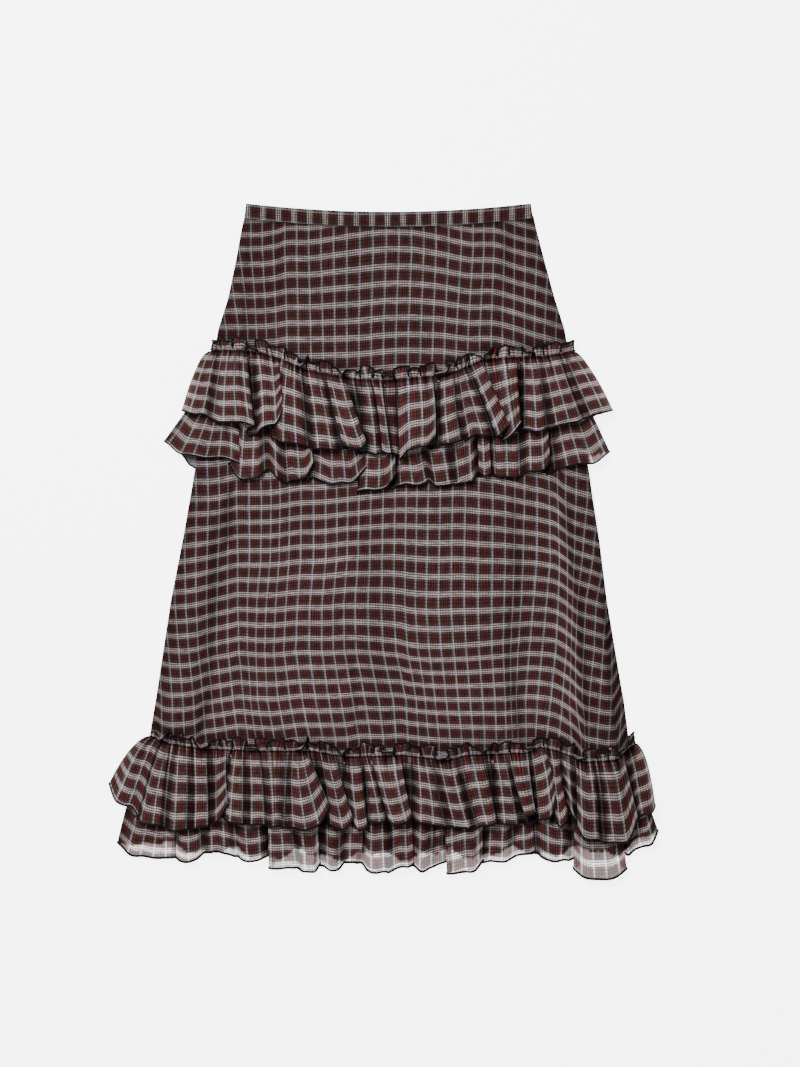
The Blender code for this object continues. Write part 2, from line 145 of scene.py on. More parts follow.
# Where the cream warps and the pale wefts of the front panel run, on a plan with squares of PLAN mm
# counted to the right and down: the columns of some warps on some lines, and the lines of some wefts
# at some columns
PLAN = 1.2                # size of a square
PLAN_COLUMN = 383.5       # the plan's column at X 0
PLAN_LINE = 541.0         # the plan's line at Y 0
WARP_COUNTS = (-6, -3, 0, 3, 5, 7, 10, 13, 16, 19, 22, 25, 28, 30, 32, 34, 36, 38, 40, 43)
WarpLine = namedtuple("WarpLine", "line columns")
BODY_WARPS = records(
    WarpLine,
    (250, (
        95, 131, 167, 203, 227, 251, 285, 321, 360, 399, 436, 473, 504, 525, 549, 573, 597, 621, 645, 680,
    )),
    (330, (
        115, 150, 182, 214, 239, 257, 287, 323, 359, 396, 433, 468, 502, 524, 544, 567, 590, 613, 636, 670,
    )),
    (500, (
        117, 151, 185, 220, 237, 262, 290, 326, 359, 395, 428, 465, 505, 524, 549, 565, 587, 608, 629, 662,
    )),
    (560, (
        117, 151, 185, 218, 238, 261, 289, 326, 358, 394, 427, 464, 505, 523, 550, 567, 582, 604, 625, 658,
    )),
    (605, (
        119, 153, 186, 217, 238, 257, 286, 322, 355, 394, 426, 464, 504, 521, 546, 567, 577, 596, 617, 650,
    )),
    (650, (
        124, 158, 189, 217, 239, 256, 284, 322, 356, 396, 429, 466, 503, 518, 542, 566, 575, 594, 612, 645,
    )),
    (700, (
        130, 162, 194, 222, 244, 258, 290, 329, 365, 406, 435, 470, 505, 516, 537, 562, 575, 589, 611, 643,
    )),
    (740, (
        130, 163, 196, 228, 249, 265, 298, 336, 371, 408, 439, 473, 506, 518, 535, 558, 581, 588, 608, 640,
    )),
)
WeftLine = namedtuple("WeftLine", "count columns lines")
UPPER_COLUMNS = (
    237, 257, 268, 278, 287, 310, 333, 360, 385, 411, 425, 440, 455, 470, 485, 497, 513, 525, 537, 562,
)
LOWER_COLUMNS = (
    157, 165, 180, 195, 205, 215, 230, 239, 257, 275, 300, 322, 347, 360, 385, 400, 410, 435, 460, 480,
    500, 515, 530, 545, 555, 560, 565, 570, 575, 580, 585, 595, 605,
)
BODY_WEFTS = records(
    WeftLine,
    (0, UPPER_COLUMNS, (
        249, 249, 248, 246, 243, 242.5, 239, 235, 232.5, 233, 235, 238, 241.5, 244.5, 244.5, 245.5, 251,
        254, 257, 266,
    )),
    (6, UPPER_COLUMNS, (
        343, 343, 342.5, 341.5, 340, 340, 339.5, 338.5, 336, 335, 335.5, 336, 338, 339.5, 339, 340, 344,
        348, 352, 358,
    )),
    (15, LOWER_COLUMNS, (
        503, 503, 501, 499, 499, 498.5, 495.5, 493.5, 493.5, 492.5, 488.5, 487.5, 485, 483.5, 480.5,
        479, 478.5, 478, 477, 478.5, 481.5, 485, 488.5, 492, 496, 500, 504, 506.5, 508.5, 510, 511.5,
        514.5, 518,
    )),
    (20, LOWER_COLUMNS, (
        577, 578, 577, 575, 573, 570.5, 566.5, 565, 565, 564.5, 561.5, 561, 558, 557.5, 556.5, 557, 558,
        559.5, 559, 560.5, 561, 562, 562.5, 564.5, 566.5, 569.5, 573, 577.5, 581, 583, 584.5, 588, 592,
    )),
    (25, LOWER_COLUMNS, (
        646, 649.5, 651, 649.5, 646.5, 643.5, 640.5, 638.5, 640, 640, 638, 638.5, 637.5, 638, 640, 642,
        645, 646.5, 645.5, 644, 642, 640.5, 639, 639.5, 641, 643.5, 646.5, 650.5, 655.5, 660, 662,
        664.5, 667.5,
    )),
    (31, LOWER_COLUMNS, (
        732, 738, 738.5, 736, 731, 729.5, 727, 725.5, 727, 727.5, 724.5, 724.5, 724, 721.5, 722, 721,
        722.5, 725, 726, 726.5, 727, 726, 725, 727, 729.5, 732, 735, 738, 742, 748, 753, 755, 757,
    )),
)

# Beyond this line the front panel turns to its side seam, and its wefts run up to the right
SIDE_TURN = records(Level, (560, 603.0), (600, 603.5), (640, 607.5), (680, 611.5), (740, 616.0))
SIDE_TURN_SLOPE = 1.7
WEFTS_BEYOND = 3          # wefts that run on past the first and the last row
WEFT_SQUARES = 14.0       # squares from weft to weft there

# One row for each fold of a ruffle, left to right: its edges at the stitching and at the hem, the
# hem's Y at its left edge, middle and right edge, its height, and how far the cloth goes back under
# it at each edge
Fold = namedtuple(
    "Fold",
    "left_top right_top left_hem right_hem low_left low_mid low_right crest tuck_left tuck_right",
)
HIP_TOP_FOLDS = records(
    Fold,
    (-206, -197, -242, -208, 157, 152, 147, 5, 0, 0),
    (-194, -164, -205, -153, 146, 141, 137, 12, 0, 9),
    (-157, -126, -151, -119, 128, 137, 160, 9, 0, 14),
    (-120, -98, -131, -88, 124, 116, 112, 8, 0, 0),
    (-94, -73, -85, -52, 111, 109, 110, 8, 0, 0),
    (-68, -47, -47, -20, 113, 110, 116, 15, 6, 9),
    (-31, -15, -18, -4, 106, 104, 104, 4.5, 0, 0),
    (-12, -3, -1, 9, 106, 104, 105, 9, 3, 4),
    (2, 14, 11, 19, 104, 103, 102, 2.5, 0, 0),
    (19, 58, 20, 62, 97, 111, 126, 13, 7, 9),
    (66, 86, 68, 95, 113, 117, 121, 9, 0, 0),
    (88, 99, 98, 130, 121, 126, 125, 7, 0, 0),
    (103, 117, 135, 149, 124, 130, 137, 14, 7, 7),
    (122, 158, 143, 164, 120, 128, 140, 10, 0, 5),
    (167, 184, 167, 196, 133, 131, 134, 8, 0, 0),
    (187, 210, 200, 240, 135, 140, 147, 10, 0, 0),
    (213, 229, 244, 275, 148, 153, 157, 6, 0, 0),
)
HIP_UNDER_FOLDS = records(
    Fold,
    (-190, -174, -263, -171, 120, 101, 93, 6, 0, 14),
    (-170, -148, -184, -141, 91, 74, 84, 6, 0, 0),
    (-142, -124, -137, -119, 85, 77, 71, 5, 0, 0),
    (-120, -92, -116, -84, 70, 73, 93, 7, 0, 8),
    (-84, -34, -86, -17, 76, 69, 92, 6, 0, 13),
    (-24, 6, -31, 15, 58, 62, 80, 7, 0, 7),
    (14, 36, 17, 56, 67, 67, 71, 6, 0, 0),
    (40, 62, 60, 84, 68, 66, 68, 6, 0, 0),
    (68, 104, 87, 112, 68, 71, 77, 6, 0, 0),
    (110, 124, 114, 129, 82, 78, 82, 7, 4, 6),
    (128, 158, 131, 165, 80, 76, 79, 6, 0, 0),
    (161, 190, 168, 199, 80, 84, 96, 6, 0, 6),
    (194, 214, 208, 271, 86, 92, 108, 6, 0, 0),
)
HEM_TOP_FOLDS = records(
    Fold,
    (-278, -267, -329, -292, -290, -314, -328, 5, 0, 5),
    (-264, -253, -294, -262, -327, -338, -342, 8, 0, 0),
    (-249, -233, -258, -232, -343, -344, -344, 8, 0, 0),
    (-229, -209, -228, -206, -343, -341, -337, 8, 0, 0),
    (-205, -188, -204, -185, -337, -330, -312, 10, 0, 9),
    (-181, -166, -192, -165, -329, -336, -337, 8, 0, 0),
    (-162, -146, -161, -139, -337, -338, -339, 7, 0, 0),
    (-144, -115, -136, -119, -340, -340, -341, 8, 0, 0),
    (-111, -93, -114, -64, -341, -342, -316, 13, 0, 10),
    (-77, -59, -65, -36, -337, -342, -331, 10, 0, 9),
    (-46, -28, -39, -19, -336, -344, -339, 9, 0, 5),
    (-24, -18, -17, 5, -336, -334, -332, 8, 0, 0),
    (-14, 20, 8, 34, -334, -336, -328, 15, 8, 8),
    (36, 58, 35, 76, -331, -337, -341, 9, 0, 0),
    (62, 88, 80, 108, -341, -342, -341, 8, 0, 0),
    (91, 118, 111, 135, -341, -339, -334, 11, 0, 8),
    (130, 146, 137, 163, -336, -338, -336, 6, 0, 0),
    (151, 172, 169, 181, -327, -325, -322, 14, 6, 7),
    (176, 192, 184, 206, -333, -330, -310, 9, 0, 6),
    (196, 208, 204, 220, -334, -341, -328, 7, 0, 4),
    (212, 226, 222, 230, -320, -330, -337, 4, 0, 0),
    (231, 252, 232, 260, -341, -355, -358, 11, 6, 0),
    (255, 283, 264, 303, -358, -359, -330, 12, 0, 8),
    (290, 301, 304, 326, -332, -325, -316, 6, 0, 0),
)
HEM_UNDER_FOLDS = records(
    Fold,
    (-266, -250, -319, -248, -361, -378, -379, 6, 0, 6),
    (-244, -226, -250, -215, -378, -383, -373, 6, 0, 0),
    (-220, -186, -212, -178, -372, -372, -378, 6, 0, 0),
    (-182, -144, -175, -141, -378, -382, -379, 6, 0, 0),
    (-140, -120, -137, -101, -390, -391, -391, 7, 6, 0),
    (-116, -80, -99, -76, -393, -396, -385, 7, 0, 7),
    (-70, -50, -72, -52, -388, -394, -392, 6, 0, 0),
    (-46, -28, -48, -26, -386, -383, -384, 7, 0, 7),
    (-24, 4, -26, 7, -386, -396, -396, 6, 0, 0),
    (10, 32, 10, 36, -394, -390, -385, 6, 0, 5),
    (36, 54, 35, 56, -389, -395, -390, 6, 0, 0),
    (58, 70, 59, 73, -389, -386, -385, 5, 0, 0),
    (74, 118, 76, 119, -397, -396, -382, 7, 6, 6),
    (124, 150, 121, 152, -384, -383, -380, 6, 0, 0),
    (154, 176, 156, 181, -378, -375, -371, 6, 0, 6),
    (182, 222, 183, 221, -373, -382, -382, 6, 0, 0),
    (228, 276, 227, 291, -391, -405, -391, 7, 7, 7),
    (284, 292, 293, 329, -376, -366, -347, 6, 0, 0),
)
HIP_TOP_BACK_HEM = records(Level, (-206, 140), (-130, 122), (-20, 112), (90, 118), (206, 138))
HIP_UNDER_BACK_HEM = records(Level, (-226, 92), (-140, 84), (0, 76), (120, 82), (220, 96))
HEM_TOP_BACK_HEM = records(Level, (-270, -322), (-150, -330), (10, -334), (150, -330), (270, -330))
HEM_UNDER_BACK_HEM = records(Level, (-280, -362), (-160, -374), (0, -376), (140, -372), (280, -370))

WIDE_FOLD = 21.0          # width at the hem above which a fold has shoulders
SHOULDER_AT = 0.2         # share of its width at which they are
ROUND = 0.28              # how near the hem of a wide fold's shoulder comes to that of its edge
# Heights of points of a fold, as shares of its crest
SHOULDER = 0.92
TURN_HIGH = 0.78
TURN_MID = 0.48
TURN_LOW = 0.22
FOOT = 0.22

# How dark the painted shadow is beside a tuck and in a plain valley, as shares of that under a tuck
BESIDE_TUCK = 0.8
VALLEY = 0.22
TURN_DARK = 0.4           # in the middle of a turn

# Spacing of a section's points: what a step along the stitching counts for, and the least step
TOP_WEIGHT = 0.15
LEAST_STEP = 0.05

# Creases and ridges of the ruffles, beside their folds
HIP_TOP_CREASES = records(
    Crease,
    (-160, 226, -147, 150, -2.6, 5), (-206, 224, -226, 160, -1.6, 5), (-178, 226, -180, 150, 1.2, 5),
    (-112, 210, -102, 118, 1.6, 5), (-82, 200, -76, 112, 1.4, 5), (-96, 206, -88, 116, -1.4, 4),
    (-30, 190, -26, 110, -2.4, 8), (8, 190, 12, 108, -1.6, 4), (36, 194, 40, 112, 1.4, 7),
    (64, 198, 70, 120, -2.2, 4), (78, 200, 84, 118, 1.2, 5), (104, 208, 126, 126, 1.2, 4),
    (163, 220, 166, 134, -2.6, 3), (184, 220, 190, 134, 1.5, 5), (205, 222, 214, 140, 1.2, 6),
    (218, 226, 246, 168, -1.4, 5),
)
HIP_UNDER_CREASES = records(
    Crease,
    (-172, 150, -174, 90, -1.6, 4), (-150, 140, -152, 78, 0.9, 7), (-104, 130, -100, 72, -0.9, 6),
    (-52, 120, -50, 72, 1.0, 7), (-20, 112, -24, 60, -1.3, 5), (90, 120, 96, 70, 0.8, 8),
    (142, 128, 148, 78, -0.9, 6), (186, 132, 194, 88, -1.2, 5), (216, 140, 236, 92, 0.9, 7),
)
HEM_TOP_CREASES = records(
    Crease,
    (-282, -236, -300, -288, -1.6, 4), (-266, -292, -290, -330, -1.4, 4),
    (-254, -246, -244, -336, -1.0, 5), (-208, -248, -206, -318, -2.6, 5),
    (-184, -246, -184, -318, -2.4, 4), (-165, -250, -163, -306, -0.7, 3),
    (-146, -250, -143, -306, -0.7, 3), (-113, -250, -111, -318, -1.3, 3),
    (-83, -256, -64, -322, -2.2, 5), (-49, -258, -44, -290, -2.2, 5), (-26, -254, -21, -312, -2.0, 3),
    (-16, -254, 8, -332, -2.0, 4), (-70, -252, -56, -330, 1.4, 4), (36, -262, 38, -306, -1.4, 7),
    (56, -260, 58, -330, 1.2, 7), (88, -258, 92, -330, 1.2, 7), (129, -254, 131, -312, -2.6, 4),
    (158, -254, 172, -318, 1.4, 4), (183, -258, 185, -312, -2.4, 5), (246, -262, 246, -340, 1.3, 6),
    (272, -262, 282, -345, 1.2, 5), (262, -262, 268, -345, -1.4, 4), (296, -250, 306, -312, -1.6, 4),
)
HEM_UNDER_CREASES = records(
    Crease,
    (-236, -330, -250, -372, -1.3, 4), (-180, -336, -176, -376, 1.0, 6),
    (-140, -342, -136, -384, -1.5, 3), (-72, -342, -70, -388, -1.6, 4), (-28, -340, -20, -370, -1.4, 4),
    (8, -340, 12, -388, -1.2, 4), (40, -342, 44, -386, 1.0, 5), (92, -342, 96, -390, 1.0, 7),
    (150, -340, 152, -376, 0.8, 6), (178, -334, 178, -366, -2.0, 6), (250, -356, 252, -400, 1.0, 7),
    (298, -330, 308, -366, -1.2, 5),
)

# A ruffle layer: its stitching, folds, creases and back hem, how soon its sides swell out (a power of
# the drop, 1 is a straight side), where its check starts, its grid, and the flat cut of its two halves
Layer = namedtuple(
    "Layer",
    "name stitch folds creases back_hem is_top swell_left swell_right warp_start weft_start"
    " columns rows cut_front cut_back depth",
)
HIP_LAYERS = (
    Layer(
        "hip_ruffle_top", HIP_STITCH, HIP_TOP_FOLDS, HIP_TOP_CREASES, HIP_TOP_BACK_HEM, True,
        0.52, 0.75, 0.2, 0.45, 800, 44, 0.84, 0.53, 0.10,
    ),
    Layer(
        "hip_ruffle_under", HIP_STITCH, HIP_UNDER_FOLDS, HIP_UNDER_CREASES, HIP_UNDER_BACK_HEM, False,
        1.0, 1.0, 0.6, 0.1, 620, 50, 0.74, 0.52, 0.125,
    ),
)
HEM_LAYERS = (
    Layer(
        "hem_ruffle_top", HEM_STITCH, HEM_TOP_FOLDS, HEM_TOP_CREASES, HEM_TOP_BACK_HEM, True,
        0.55, 0.5, 0.3, 0.3, 870, 44, 1.08, 0.66, 0.095,
    ),
    Layer(
        "hem_ruffle_under", HEM_STITCH, HEM_UNDER_FOLDS, HEM_UNDER_CREASES, HEM_UNDER_BACK_HEM, False,
        0.5, 0.9, 0.1, 0.7, 760, 50, 0.88, 0.62, 0.125,
    ),
)

# Grids: cells across and down
PANEL_GRID = (170, 260)
BACK_PANEL_GRID = (70, 90)
BACK_COLUMNS = 240
BACK_ROWS = 24
HEADING_ROWS = 11
ROW_POWER = 1.15          # how much closer a ruffle's rows lie at its stitching
BAND_COLUMNS = 170
BAND_RING = 20
HEM_SIDES = 6             # faces round a rolled edge

# Waves that make the cloth uneven. Lengths are in millimetres along it.
Sine = namedtuple("Sine", "height length phase")
SWAY = records(Sine, (1.6, 117.0, 0.8))
HEM_WAVE = 0.9            # how far the front hems wave up and down
HEM_WAVE_LENGTH = 33.0
HEM_WAVE_WANDER = records(Sine, (1.7, 141.0, 0.0))
WANDER = records(Sine, (1.4, 71.0, 0.0), (0.8, 29.0, 1.0))
PLEAT_WANDER = records(Sine, (0.5, 37.0, 0.0), (0.3, 17.0, 2.0))
ARCH_WANDER = records(Sine, (0.8, 83.0, 0.0), (0.7, 47.0, 1.0))
BACK_HEM_WAVES = records(Sine, (4.5, 83.0, 2.6), (3.0, 37.0, 0.4), (0.8, 11.0, 0.0))
BAND_WANDER = records(Sine, (0.04, 190.0, 0.0))
Wave = namedtuple("Wave", "height across up phase")
RUMPLES = records(
    Wave,
    (0.40, 61.0, 408.571, 0.6), (0.30, 37.0, -190.0, 2.1),
    (0.20, 23.0, 260.0, 4.4), (0.10, 155.0, 74.0, 1.2),
)

# Front panel
WAIST_TUCK = 3.3          # how far it reaches under the waistband
BAND_SEAM_HEIGHT = 1.75   # height at which it lies there
CREASE_COMES = 0.15       # share of a crease over which it starts
CREASE_GOES = 0.12        # and ends
RUMPLE = 0.35             # height of its slow unevenness
RUMPLE_MARGIN = 20.0      # distance from the sides at which that is full
SIDE_FALL = 0.8           # how far its side edges bend down
SIDE_FALL_WIDTH = 6.0
LEAST_GAP = 0.45          # least height above the back panel
BAND_SEAM_DROP = 5.0      # drop below the waistband at which it has its own height
# Painted shade of the front panel, with painted highlights on its ridges
PANEL_SHADE = 0.58        # share of the light at its side edges, and gains over widths beside them
Gain = namedtuple("Gain", "gain width")
PANEL_GAINS = records(Gain, (0.2, 20.0), (0.2, 110.0))
# How much painted shade darkens a trough and a painted highlight lightens a ridge of the panel,
# for each millimetre of height
CREASE_LIGHTS = ((FRONT_CREASES, 0.08, 0.04), (FINE_CREASES, 0.2, 0.06))
DEEPEST = -3.0            # depth of a trough below which it gets no darker
LOW_SHADE = 0.97          # share of the light low down
HIGH_DARK = 0.17          # what it loses high up, from HIGH_FROM over HIGH_OVER
HIGH_FROM = 160.0
HIGH_OVER = 120.0
TURNED_DARK = 0.3         # beyond the side turn
TURN_LINE_DARK = 0.4      # along the side turn
TURN_FROM = 585.0         # plan line from which on the side turn shows
TURN_OVER = 50.0
BAND_SHADOW = 0.65        # just below the waistband
BAND_SHADOW_DROP = 3.0
FRILL_SHADOW = 0.35       # just above each heading
FRILL_SHADOW_WIDTH = 6.0
BACK_PANEL_INSET = 1.0
BACK_PANEL_SHADE = 0.9

# Gathers: ridges along the stitching. Drift is how far the slow wave shifts them, in ridges.
PUCKER_DRIFT = 0.25
PUCKER_SHARE = 0.9        # height of the puckers, as a share of the gather height
WIDE_PITCH = 1.7          # width of the wider puckers, in narrow ones
WIDE_PUCKER = 0.6         # and their height
WIDE_DRIFT = 0.16
PLEAT_PITCH = 4.4         # width of one pleat at the gathering thread
Ripple = namedtuple("Ripple", "pitch drift reach")
RIPPLES = records(Ripple, (18.0, 0.24, 55.0), (10.3, 0.18, 26.0))
RIPPLE_SHARE = 0.85       # height of the ripples, as a share of the gather height
RIPPLE_MEAN = 0.6         # height of the wide ripples, and how it changes
RIPPLE_CHANGE = records(Sine, (0.4, 87.0, 2.0))
FINE_RIPPLE = 0.5         # height of the fine ones
CRINKLE = 0.3             # height of the fine crinkle, and its lengths across and up
CRINKLE_ACROSS = 14.0
CRINKLE_UP = 31.0
CRINKLE_DRIFT = 0.3
CRINKLE_DROP = 30.0       # drop at which it is full
SWELL_REACH = 70.0        # width beside a silhouette in which the ruffle swells
MEAN_DEPTH = 0.45         # how far the check keeps to the ruffle's mean depth

# Heading
FRILL_PITCH = 15.0        # width of one arch
FRILL_LAP = 1.7           # height by which one arch lies over the next
ARCH_DIP = 0.1            # part of an arch's phase where two of them meet
ARCH_SIDE = 1.7           # part of it over which the arch rises
LOW_HEADING = 0.15        # share of the heading's height where two arches meet
HIGH_HEADING = 0.9        # what an arch adds to it
HEADING_END = 7.0         # width over which it comes down at its ends
END_HEADING = 0.3         # share of its height there
Swing = namedtuple("Swing", "height rate shift")
ARCH_SIZES = records(Swing, (0.25, 0.61, 1.0), (0.1, 1.7, 0.0))
BEND = 0.6                # radians by which a column bends up, and how that changes
BEND_CHANGE = records(Swing, (0.35, 0.9, 2.0))
CURL = 2.0                # by how much more it bends where it bends right over
CURL_PLACES = records(Swing, (1.0, 0.27, 0.5))
CURL_FROM = 0.6           # it does so where this swing is above CURL_FROM
CURL_OVER = 0.3
FRILL_POWER = 1.2         # how late the arches double back on their way up
CREST_AT = 1.25           # twice the share of the way up at which an arch stands up most
HEADING_PUCKER = 0.6      # how much of the gather height its puckers keep
HEADING_PUCKER_Y = 0.7    # how far they move its edge up
PLEAT_RISE = 0.4          # half the height of a pleat
HIDDEN_CLOTH = 6.0        # depth of cloth that is lost in the gathers just above the stitching
HIDDEN_REACH = 1.5        # height over which it is lost
HEADING_CLOTH = 0.9       # depth of cloth for each height of the heading, and how that changes
CLOTH_CHANGE = records(Swing, (0.2, 0.37, 0.0))
# Painted shade and highlight of the heading, as shares of the light
HEADING_SHADE = 1.5       # how light the heading is where nothing darkens it
ARCH_DARK = 1.0           # darker where two arches meet
HEADING_PUCKER_DARK = 0.3
HEADING_PLEAT_DARK = 0.4
LAP_DARK = 0.3            # where an arch lies under the next one
EDGE_HIGHLIGHT = 0.3           # painted highlight along its edge

# Back ruffles and rolled edges
BACK_WAVES = 11
BACK_UNDER_PHASE = 1.2    # how far the lower layer's waves are shifted
BACK_SIDES = 14.7         # how soon the waves start, counted in widths of the ruffle
BACK_HEM_END = 40.0       # width over which the waves of the hem start
BACK_FULLNESS = 1.4       # cloth for each width of a back hem, as its check shows it
BACK_WEFT_START = 0.3
BACK_SHADE = 0.85
BOTTOM_ROLL = 1.4         # how much thicker the roll along the lowest hem is
NEARLY_UP = (0.0, 0.13, 1.0)
TINY = 1e-9               # keeps a zero length from dividing

# Waistband
BAND_INSET = 1.2          # how much shorter each end of the band is than its frame
BAND_SPREAD = 2.4         # how much wider each side of the band's lower edge is than its upper one
BAND_SQUARE = 0.45        # power of its section's superellipse
BAND_END = 60.0           # how soon it has its full thickness, in half lengths
BAND_CROWN = 0.25         # height and length of the waves of its upper edge
BAND_CROWN_LENGTH = 47.0
BAND_WARP_START = 0.4
BAND_WEFT_START = 0.85
BAND_EASE = 1.05          # cloth for each width of the waistband
BAND_SHADE = 0.66         # share of the light that reaches it

# How dark front ruffles are, as shares of the light, and the drops at which they are
SEAM_DARK = 0.35          # along the stitching
SEAM_DEPTH = 2.0
PUCKER_DARK = 0.28        # between puckers
TUCK_DARK = 0.72          # under a tuck
TUCK_DROP = 16.0
PLEAT_DARK = 0.26         # between pleats
PLEAT_DROP = 5.0
CORNER_DARK = 0.14        # in the bottom right corner
CORNER = Level(195.0, -200.0)
CORNER_WIDTH = 60.0
CORNER_DEPTH = 40.0
PUFF_HIGHLIGHT = 0.2           # painted highlight, where puckers swell out below the stitching
PUFF_AT = 6.0
PUFF_DEPTH = 4.0
Hollow = namedtuple("Hollow", "reach depth")
HOLLOWS = records(Hollow, (3.0, 2.2), (9.0, 2.9), (26.0, 6.0))
HOLLOW_DARK = 0.42        # in a hollow as deep as that row's depth
LEAST_SHADE = 0.12        # least share of the light at any place
SHEER_MARGIN = 3.0        # distance past the body at which a single layer is fully sheer
SHEER_EARLY = 0.2         # how far above the back's hem that starts
SHEER_EDGE = 1.4          # and over what drop

# Looks
REVERSE_FADE = 0.45       # how far the check fades into the tint of the wrong side
WARP_STREAKS = (15.0, 1.1, 1.0)    # streaks in a repeat, across and down
WEFT_STREAKS = (1.3, 17.0, 1.0)
BEAD_SHINE = 0.38         # how much brighter a bead is than its yarn
PALE_THIN = 1.45          # how much more the pale threads let through
LEAST_ALPHA = 0.3         # least opacity of a single layer
EDGING_TONES = (0.5, 1.9)          # darkest and palest thread, as shares of the edging's colour

# Stage
FLOOR_HALF = 60000.0      # half the floor's width
SENSOR = 36.0             # width of the camera's sensor in millimetres
CAMERA_SPOT = (0.0198, 0.009)      # its X and Y in metres
Lamp = namedtuple("Lamp", "name size spot")
LAMPS = records(Lamp, ("key", 1.0, (-0.9, 1.25, 2.5)), ("overhead", 2.4, (0.3, -0.2, 3.4)))

# Bands of one repeat of the check, each with the share of the repeat where it ends and its colour
Stripe = namedtuple("Stripe", "end colour")
WARP_STRIPES = records(
    Stripe,
    (0.05, "cream"), (0.12, "grey"), (0.17, "ground"), (0.26, "tan"), (0.31, "ground"), (0.38, "tan"),
    (0.452, "ground"), (0.538, "red"), (0.61, "ground"), (0.69, "tan"), (0.74, "ground"),
    (0.82, "slate"), (0.87, "ground"), (0.95, "grey"), (1.0, "cream"),
)
WEFT_STRIPES = records(
    Stripe,
    (0.038, "pale"), (0.10, "gap"), (0.17, "silver"), (0.215, "ground"), (0.30, "tan"), (0.40, "brown"),
    (0.60, "dull_red"), (0.70, "brown"), (0.785, "tan"), (0.83, "ground"), (0.90, "silver"),
    (0.962, "gap"), (1.0, "pale"),
)
STRIPE_BLUR = 0.008       # share of a repeat over which one colour turns into the next
BEADS = 5.0               # times in a repeat that a yarn shows brighter, where it passes over others


def colour_setting(name, description, *default):
    """A colour that a user may change."""
    return bpy.props.FloatVectorProperty(
        name=name, description=description, default=default, subtype="COLOR"
    )


def length_setting(name, description, default):
    """A length in metres that a user may change."""
    return bpy.props.FloatProperty(name=name, description=description, default=default, unit="LENGTH")


class SkirtCloth(bpy.types.PropertyGroup):
    """Colours and sizes of the checked chiffon."""

    warp_pitch: length_setting("Warp repeat", "Width of one check", 0.0152)
    weft_pitch: length_setting("Weft repeat", "Height of one check", 0.0196)
    cream: colour_setting("Cream", "Thin pale warps", 0.235, 0.19, 0.185)
    pale: colour_setting("Pale", "Bright wefts", 0.46, 0.41, 0.405)
    grey: colour_setting("Grey", "Warps beside the cream ones", 0.074, 0.061, 0.067)
    silver: colour_setting("Silver", "Wefts beside the bright ones", 0.33, 0.285, 0.285)
    gap: colour_setting("Gap", "Wefts between the bright and silver ones", 0.075, 0.06, 0.06)
    slate: colour_setting("Slate", "Bluish warps", 0.036, 0.032, 0.035)
    tan: colour_setting("Tan", "Olive brown threads", 0.043, 0.029, 0.023)
    brown: colour_setting("Brown", "Dark brown threads", 0.018, 0.009, 0.008)
    ground: colour_setting("Ground", "Darkest threads", 0.006, 0.003, 0.003)
    red: colour_setting("Red", "Red warps", 0.12, 0.006, 0.009)
    dull_red: colour_setting("Dull red", "Red wefts", 0.032, 0.005, 0.006)
    reverse: colour_setting("Reverse", "Tint of the cloth's wrong side", 0.17, 0.16, 0.185)
    edging: colour_setting("Edging", "Thread of the rolled edges", 0.006, 0.005, 0.006)
    sheer_alpha: bpy.props.FloatProperty(
        name="Single layer", description="Opacity of dark threads where one layer lies alone",
        default=0.85, subtype="FACTOR",
    )


class SkirtForm(bpy.types.PropertyGroup):
    """Sizes of the cloth, its gathers and its edges."""

    cloth: length_setting("Cloth", "Thickness of the chiffon", 0.00035)
    gather: length_setting("Gather height", "Height of the puckers at the stitching", 0.0017)
    gather_pitch: length_setting("Gather pitch", "Width of one pucker", 0.0068)
    gather_reach: length_setting("Gather reach", "Drop over which the puckers fade", 0.011)
    frill: length_setting("Frill", "How far the heading's arches double back", 0.004)
    edge_radius: length_setting("Rolled edge", "Radius of the rolled edges", 0.001)


class SkirtStage(bpy.types.PropertyGroup):
    """Floor, lights and camera."""

    floor: colour_setting("Floor", "Colour of the floor", 0.96, 0.96, 0.96)
    glow: bpy.props.FloatProperty(
        name="Glow", description="Light that comes through the floor", default=5.0
    )
    key_power: bpy.props.FloatProperty(
        name="Key light", description="Power of the key light", default=136.0, unit="POWER"
    )
    fill_power: bpy.props.FloatProperty(
        name="Fill light", description="Power of the light overhead", default=24.0, unit="POWER"
    )
    sky: bpy.props.FloatProperty(
        name="Sky", description="Strength of the light from all round", default=0.42
    )
    camera_height: length_setting("Camera height", "Height of the camera above the floor", 3.023)
    lens: bpy.props.FloatProperty(
        name="Lens", description="Focal length in millimetres", default=85.0
    )


def smooth(share):
    """A smooth step from 0 to 1, flat at both ends."""
    share = np.clip(share, 0.0, 1.0)
    return share * share * (3.0 - 2.0 * share)


def along(table, x):
    """Y of a line given as Level rows, at x."""
    return np.interp(x, [row.x for row in table], [row.y for row in table])


def waist_edge(x):
    """Y of the waist's top edge at x: a parabola."""
    middle = 0.5 * (WAIST_LEFT + WAIST_RIGHT)
    return WAIST_LOW + WAIST_DIP * ((x - middle) / (WAIST_RIGHT - middle)) ** 2


def body_side(y, edge):
    """X of the body's left or right edge at height y."""
    sides = BODY_SIDES[::-1]
    return np.interp(y, [row.y for row in sides], [getattr(row, edge) for row in sides])


def back_panel_height(y):
    """Middle of the back panel's wall: on the floor, and lifted over the back ruffles."""
    lift = np.zeros_like(y)
    for bed in TIER_BEDS:
        coming = smooth((bed.rise - y) / (bed.rise - bed.full))
        going = smooth((y - bed.gone) / (bed.ease - bed.gone))
        lift = np.maximum(lift, BED_RISE * coming * going)
    return FLOOR_REST + lift


def bell(distance, width):
    """A bell, 1 in the middle: exp(-(distance / width) squared)."""
    return np.exp(-((distance / width) ** 2))


def sines(at, table):
    """A sum of sines along one direction, a row of the table for each."""
    return sum(row.height * np.sin(TURN * at / row.length + row.phase) for row in table)


